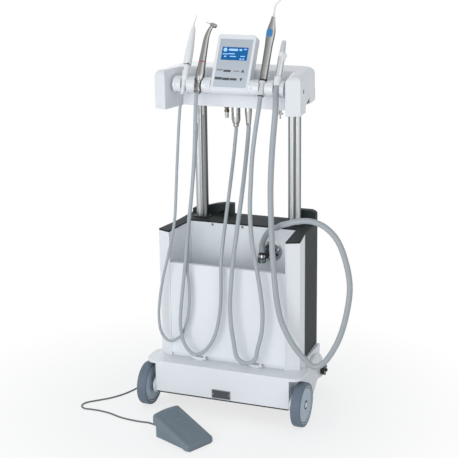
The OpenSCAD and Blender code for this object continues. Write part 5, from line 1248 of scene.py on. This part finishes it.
# the lean of the contra-angle by height, and the middle of its head
NECK_HEIGHTS, NECK_LEAN = (100, 130, 140, 150, 160, 170, 186), (0, 0, 0.5, 1.8, 4.4, 8.6, 18)
CONTRA_HEAD, CONTRA_AXIS = (14, 0, 176), (-0.94, 0, 0.342)
MOTOR_TURNED = (
    ("micromotor_body", "dark_steel", [
        [6.6, -20], [8.2, -19.6], [9.5, -18], [9.6, -14], [9.2, -12], *eased([[7, -5], [5.6, 0], [5.3, 8], [6, 12]]),
        [8.2, 14.2], [11.4, 23], *eased([[12.4, 29], [12.6, 34], [12, 44], [10.9, 56]]), [10.4, 66.6], [9.9, 67.2],
        [7, 67.3]]),
    ("micromotor_collar", "mark_dark", [[9.62, -17.4], [9.9, -17], [9.9, -15.4], [9.62, -15]]),
)
CONTRA_NECK = ("contra_angle_body", "dark_steel", [[7, 68.4], [9.7, 68.4], [9.9, 68.6], *eased([
    [10.0, 70.4], [9.9, 74], [9.5, 86], [8.9, 101], [8.4, 118], [8.0, 130], [7.0, 145], [6.2, 157], [5.5, 168],
    [4.9, 175], [4.6, 179]], 6), [2, 180]])
CONTRA_RINGS = (
    ("contra_angle_ring", "ring_red", [[9.9, 67.4], [10.35, 67.6], [10.35, 68.9], [9.95, 69.2]]),
    ("contra_angle_groove", "mark_dark", [[9.6, 69.6], [9.98, 69.7], [9.98, 70.2], [9.6, 70.3]]),
)
CONTRA_HEAD_TURNED = ("contra_angle_head", "dark_steel", [
    [1.6, -10.8], [3.4, -10.8], [4.6, -10.2], [5.5, -8.6], [5.6, -8.2], [5.3, -8], [5.3, -7.6], [5.9, -7.3],
    *eased([[6.3, -5.6], [6.4, 0], [6.1, 5]]), [5.3, 7.2], [4, 8], [2.2, 8.2], [2, 8.7], [1.4, 8.8]])
BUR_TURNED = ("bur_finished", "dark_steel", [
    [1, 5], [1.15, 5.2], [1.15, 14.6], [0.75, 15.6], [0.7, 19], [0.95, 20], [1.0, 22.4], [0.7, 23.6], [0.2, 24]])


def bent_neck(p):
    """Leans the contra-angle's rings towards its head: x grows with height as read from the neck's side view."""
    p = np.asarray(p, float).copy()
    heights = np.linspace(NECK_HEIGHTS[0], NECK_HEIGHTS[-1], 87)
    lean = np.interp(heights, NECK_HEIGHTS, NECK_LEAN)
    soft = np.convolve(np.pad(lean, 4, "edge"), np.full(9, 1 / 9), "valid")
    p[:, 0] += np.interp(p[:, 2], heights, soft - soft[0])
    return p


class DENTAL_OT_motor(DentalOperator, bpy.types.Operator):
    """Turns the micromotor, its contra-angle with a red ring and a leaning head, and the bur"""

    bl_idname = "dental.motor"
    bl_label = "Motor and contra-angle"

    def build(self, sizes, colours):
        place = on_bar(MOTOR_X)
        turned_pieces("micromotor", place, MOTOR_TURNED)
        turned_pieces("contra_angle", lambda p: place(bent_neck(p)), [CONTRA_NECK])
        turned_pieces("contra_angle", place, CONTRA_RINGS, replace=False)
        axis = np.array(CONTRA_AXIS) / np.linalg.norm(CONTRA_AXIS)
        basis = np.stack([np.cross([0, 1, 0], axis), [0, 1, 0], axis])
        on_head = lambda p: place(np.asarray(p) @ basis + np.array(CONTRA_HEAD))
        turned_pieces("contra_angle", on_head, [CONTRA_HEAD_TURNED], replace=False)
        turned_pieces("bur", on_head, [BUR_TURNED], 24)


RIB_PITCH, RIB_FIRST, RIB_LAST = 2.2, 29, 40
SYRINGE_TURNED = (
    ("syringe_shell", "brushed", [
        [9.6, 27], [10.3, 27.3],
        *[p for z in np.arange(RIB_FIRST, RIB_LAST, RIB_PITCH)
          for p in ([10.5, z], [10.5, z + 1.3], [10.1, z + 1.5], [10.1, z + 2])],
        *eased([[10.5, 42], [10.5, 118], [11.2, 134], [12.1, 148], [12.1, 163]]),
        *eased([[11.6, 168], [8.4, 184], [6.1, 195], [5.5, 200]]), [5.5, 203.4], [5, 204], [3.2, 204]]),
)
SYRINGE_KNURL = [[8.6, 22.2], [10.5, 22.5], [10.8, 23.2], [10.8, 25.8], [10.5, 26.5], [8.6, 26.8]]
SYRINGE_SLEEVES = (
    ("syringe_sleeve", "tool_grey", [
        [6.4, -20], [7, -19.6], [7.7, -18], [7.7, 15.6], [9.9, 16], [10.4, 16.8], [10.4, 21.6], [9.8, 22.1],
        [8.6, 22.2]]),
    ("syringe_sleeve_end", "mark_dark", [
        [6.6, -20.4], [8, -20.2], [8.2, -19.4], [8.2, -17.8], [7.8, -17.4], [6.6, -17.4]]),
)
# the button's height along the syringe, and the nozzle's bend: radius, turn and start
BUTTON_Z, NOZZLE_BEND, NOZZLE_TURN, NOZZLE_TOP = 155, 26, math.radians(62), 230
NOZZLE_FOOT, NOZZLE_STEPS = (196, 203, 204, 207, 208, 218), 14
NOZZLE_RADII = ((0, 1, 2, 3, 4, 5, 6, 19), (2.8, 2.8, 3.6, 3.6, 3, 2.7, 2.4, 2.1))


class DENTAL_OT_syringe(DentalOperator, bpy.types.Operator):
    """Turns the syringe: grey sleeve, black knurled ring, metal body with a button pad, and the clear bent nozzle"""

    bl_idname = "dental.syringe"
    bl_label = "Syringe"

    def build(self, sizes, colours):
        place, node = on_bar(SYRINGE_X), "syringe_body"
        body, slot = BODY_OF[node], SLOT_OF[node]
        turned_pieces(node, place, SYRINGE_TURNED)
        finished(lathe("syringe_knurl", SYRINGE_KNURL, 64, place), body, slot, finish="knob_black")
        turned_pieces(node, place, SYRINGE_SLEEVES, replace=False)
        mount = pad("syringe_button_frame", rounded_bar(0, BUTTON_Z, 18.6, 25, 5.5),
                    [[-6, 1], [-9.6, 1], [-10.3, 0.94]], place)
        finished(mount, body, slot, finish="brushed")
        button = pad("syringe_button_cap", rounded_bar(0, BUTTON_Z, 16.4, 22, 5),
                     [[-12.15, 1], [-12.6, 1], [-13.2, 0.96], [-13.5, 0.88], [-13.6, 0.6]], place)
        finished(button, BODY_OF["syringe_button"], SLOT_OF["syringe_button"], ["syringe_button"])
        a = np.linspace(0, NOZZLE_TURN, NOZZLE_STEPS)
        bend = np.stack([NOZZLE_BEND * (1 - np.cos(a)), 0 * a, NOZZLE_TOP + NOZZLE_BEND * np.sin(a)], -1)
        line = np.concatenate([[[0, 0, z] for z in NOZZLE_FOOT], bend])
        tip = sweep("syringe_nozzle", place(line), np.interp(np.arange(len(line)), *NOZZLE_RADII), 28)
        finished(tip, BODY_OF["syringe_tip"], SLOT_OF["syringe_tip"], ["syringe_tip"], "nozzle_clear")


SUCTION_TURNED = (
    ("suction_body", "clear_wall", [
        [7, 36], [8.8, 36], [9, 36.6], [9, 101], [8.7, 103.4], [7.6, 105], [7.2, 106], [6, 106]]),
    ("suction_cap", "tool_white", [[8.9, 92], [9.25, 92.4], [9.25, 102], [8.9, 103.6], [8, 105.2], [7, 105.4]]),
    ("suction_collar", "tool_white", [
        [8.2, 11], [9.6, 11.2], [10.4, 12], [10.5, 13], [10.5, 34], [10.1, 35.6], [9.3, 36.3], [8.4, 36.4]]),
)
# the adaptor's ribs: pitch, first and last height, and the width there
ADAPTOR_PITCH, ADAPTOR_LOW, ADAPTOR_HIGH, ADAPTOR_END, ADAPTOR_WIDTHS = 3.5, 106, 134, 138, (7.9, 6.1)
SLIDER_Z, SLIDER_KNOB_Z = 92, 96.5


class DENTAL_OT_suction(DentalOperator, bpy.types.Operator):
    """Turns the suction handpiece: white collar, clear walled body and the ribbed adaptor, with its side slider"""

    bl_idname = "dental.suction"
    bl_label = "Suction handpiece"

    def build(self, sizes, colours):
        place, node = on_bar(SUCTION_X), "suction_handpiece"
        turned_pieces(node, place, SUCTION_TURNED)
        heights = np.arange(ADAPTOR_LOW, ADAPTOR_HIGH, ADAPTOR_PITCH)
        width = np.interp(heights, [ADAPTOR_LOW, ADAPTOR_END], ADAPTOR_WIDTHS)
        ribs = [q for z, w in zip(heights, width)
                for q in ([w, z], [w, z + 1.5], [w - 0.9, z + 2.1], [w - 0.9, z + 3.2])]
        adaptor = [[5, 105.6], *ribs, [6.1, 134.4], [6.1, 137], [5.7, 137.6], [4.9, 137.6], [4.7, 130]]
        turned_pieces(node, place, [("suction_adaptor", "tool_grey", adaptor)], replace=False)
        on_side = lambda p: place(np.stack([p[:, 1], -p[:, 0], p[:, 2]], -1))
        frame_bar = pad("suction_slider_frame", rounded_bar(0, SLIDER_Z, 7, 26, 2.4),
                        [[8, 1], [10.3, 1], [10.7, 0.9]], on_side)
        finished(frame_bar, BODY_OF[node], SLOT_OF[node], finish="tool_white")
        knob = pad("suction_slider_knob", disc(0, SLIDER_KNOB_Z, 4.2),
                   [[9.4, 0.8], [12.6, 0.8], [12.9, 1], [13.6, 1], [14, 0.8]], on_side)
        finished(knob, BODY_OF["suction_slider"], SLOT_OF["suction_slider"], ["suction_slider"])


class DENTAL_OT_stage(DentalOperator, bpy.types.Operator):
    """Adds the pale floor, the soft studio light and the white background"""

    bl_idname = "dental.stage"
    bl_label = "Stage"

    def build(self, sizes, colours):
        reach = FLOOR_REACH
        corners = [[-reach, -reach, 0], [reach, -reach, 0], [reach, reach, 0], [-reach, reach, 0]]
        floor = mesh_object("floor", corners, [[0, 1, 2, 3]])
        floor.data.materials.append(self.pale_floor())
        world = bpy.data.worlds.new("studio")
        bpy.context.scene.world = world
        world.use_nodes = True
        tree = world.node_tree
        tree.nodes.clear()
        out = tree.nodes.new("ShaderNodeOutputWorld")
        mix = tree.nodes.new("ShaderNodeMixShader")
        light, seen = tree.nodes.new("ShaderNodeBackground"), tree.nodes.new("ShaderNodeBackground")
        light.inputs["Color"].default_value = WORLD_TINT
        light.inputs["Strength"].default_value = WORLD_LIGHT
        seen.inputs["Color"].default_value = (1, 1, 1, 1)
        seen.inputs["Strength"].default_value = 1.0
        tree.links.new(self.seen_white(tree), mix.inputs[0])
        tree.links.new(light.outputs[0], mix.inputs[1])
        tree.links.new(seen.outputs[0], mix.inputs[2])
        tree.links.new(mix.outputs[0], out.inputs["Surface"])
        for name, place, aim, size, power in LAMPS:
            lamp = bpy.data.objects.new(name, bpy.data.lights.new(name, "AREA"))
            bpy.context.scene.collection.objects.link(lamp)
            lamp.data.size, lamp.data.energy = size, power
            lamp.location = place
            lamp.rotation_euler = (Vector(aim) - Vector(place)).to_track_quat("-Z", "Y").to_euler()
        bpy.context.scene.view_settings.view_transform = "Standard"

    def pale_floor(self):
        """A pale floor that keeps the unit's shadow near it and fades to the white background further off."""
        f = Finish("floor_pale", (0.9, 0.9, 0.9), 0.8)
        x, y, _ = f.parts()
        x, y = x - FLOOR_CENTRE[0], y - FLOOR_CENTRE[1]
        away = (x * x + y * y).math("SQRT")
        white = f.node("Emission", None, Color=(1, 1, 1, 1), Strength=1.0)
        seen = self.seen_white(f.tree)
        fade = (away.over(*FADE_EDGE) * (1 - FLOOR_WHITE) + FLOOR_WHITE) * Value(f, seen)
        f.set(**{
            "Roughness": f.noise(3, 2) * 0.1 + 0.75,
            "Base Color": f.blend(f.noise(2, 2), (0.86, 0.87, 0.885), (0.89, 0.9, 0.91)),
        })
        mix = f.tree.nodes.new("ShaderNodeMixShader")
        f.tree.links.new(fade.socket, mix.inputs[0])
        f.tree.links.new(f.shader.outputs[0], mix.inputs[1])
        f.tree.links.new(white.socket, mix.inputs[2])
        f.tree.links.new(mix.outputs[0], f.out.inputs["Surface"])
        return f.material

    @staticmethod
    def seen_white(tree):
        """1 for camera, glossy and transmission rays, which see the white background, 0 for the others."""
        path = tree.nodes.new("ShaderNodeLightPath")
        total = path.outputs["Is Camera Ray"]
        for other in ("Is Glossy Ray", "Is Transmission Ray"):
            most = tree.nodes.new("ShaderNodeMath")
            most.operation = "MAXIMUM"
            tree.links.new(total, most.inputs[0])
            tree.links.new(path.outputs[other], most.inputs[1])
            total = most.outputs[0]
        return total


STEPS = (
    DENTAL_OT_camera, DENTAL_OT_finishes, DENTAL_OT_cable, DENTAL_OT_hoses, DENTAL_OT_housings, DENTAL_OT_wheels,
    DENTAL_OT_pedal, DENTAL_OT_display, DENTAL_OT_couplings, DENTAL_OT_scaler, DENTAL_OT_motor, DENTAL_OT_syringe,
    DENTAL_OT_suction, DENTAL_OT_details, DENTAL_OT_stage,
)


class DENTAL_PT_panel(bpy.types.Panel):
    """Lists the build steps in the sidebar"""

    bl_label = "Dental unit"
    bl_idname = "DENTAL_PT_panel"
    bl_space_type = "VIEW_3D"
    bl_region_type = "UI"
    bl_category = "Dental unit"

    def draw(self, context):
        for name in ("edge", "hose_pitch", "hose_sides", "route_steps"):
            self.layout.prop(context.scene.dental_sizes, name)
        for name in DentalColours.__annotations__:
            self.layout.prop(context.scene.dental_colours, name)
        for step in STEPS:
            self.layout.operator(step.bl_idname)


CLASSES = (DentalSizes, DentalColours, *STEPS, DENTAL_PT_panel)


def register():
    for cls in CLASSES:
        bpy.utils.register_class(cls)
    bpy.types.Scene.dental_sizes = bpy.props.PointerProperty(type=DentalSizes)
    bpy.types.Scene.dental_colours = bpy.props.PointerProperty(type=DentalColours)


def unregister():
    del bpy.types.Scene.dental_colours, bpy.types.Scene.dental_sizes
    for cls in reversed(CLASSES):
        bpy.utils.unregister_class(cls)


def main():
    register()
    for step in STEPS:
        group, name = step.bl_idname.split(".")
        getattr(getattr(bpy.ops, group), name)()


if __name__ == "__main__":
    main()
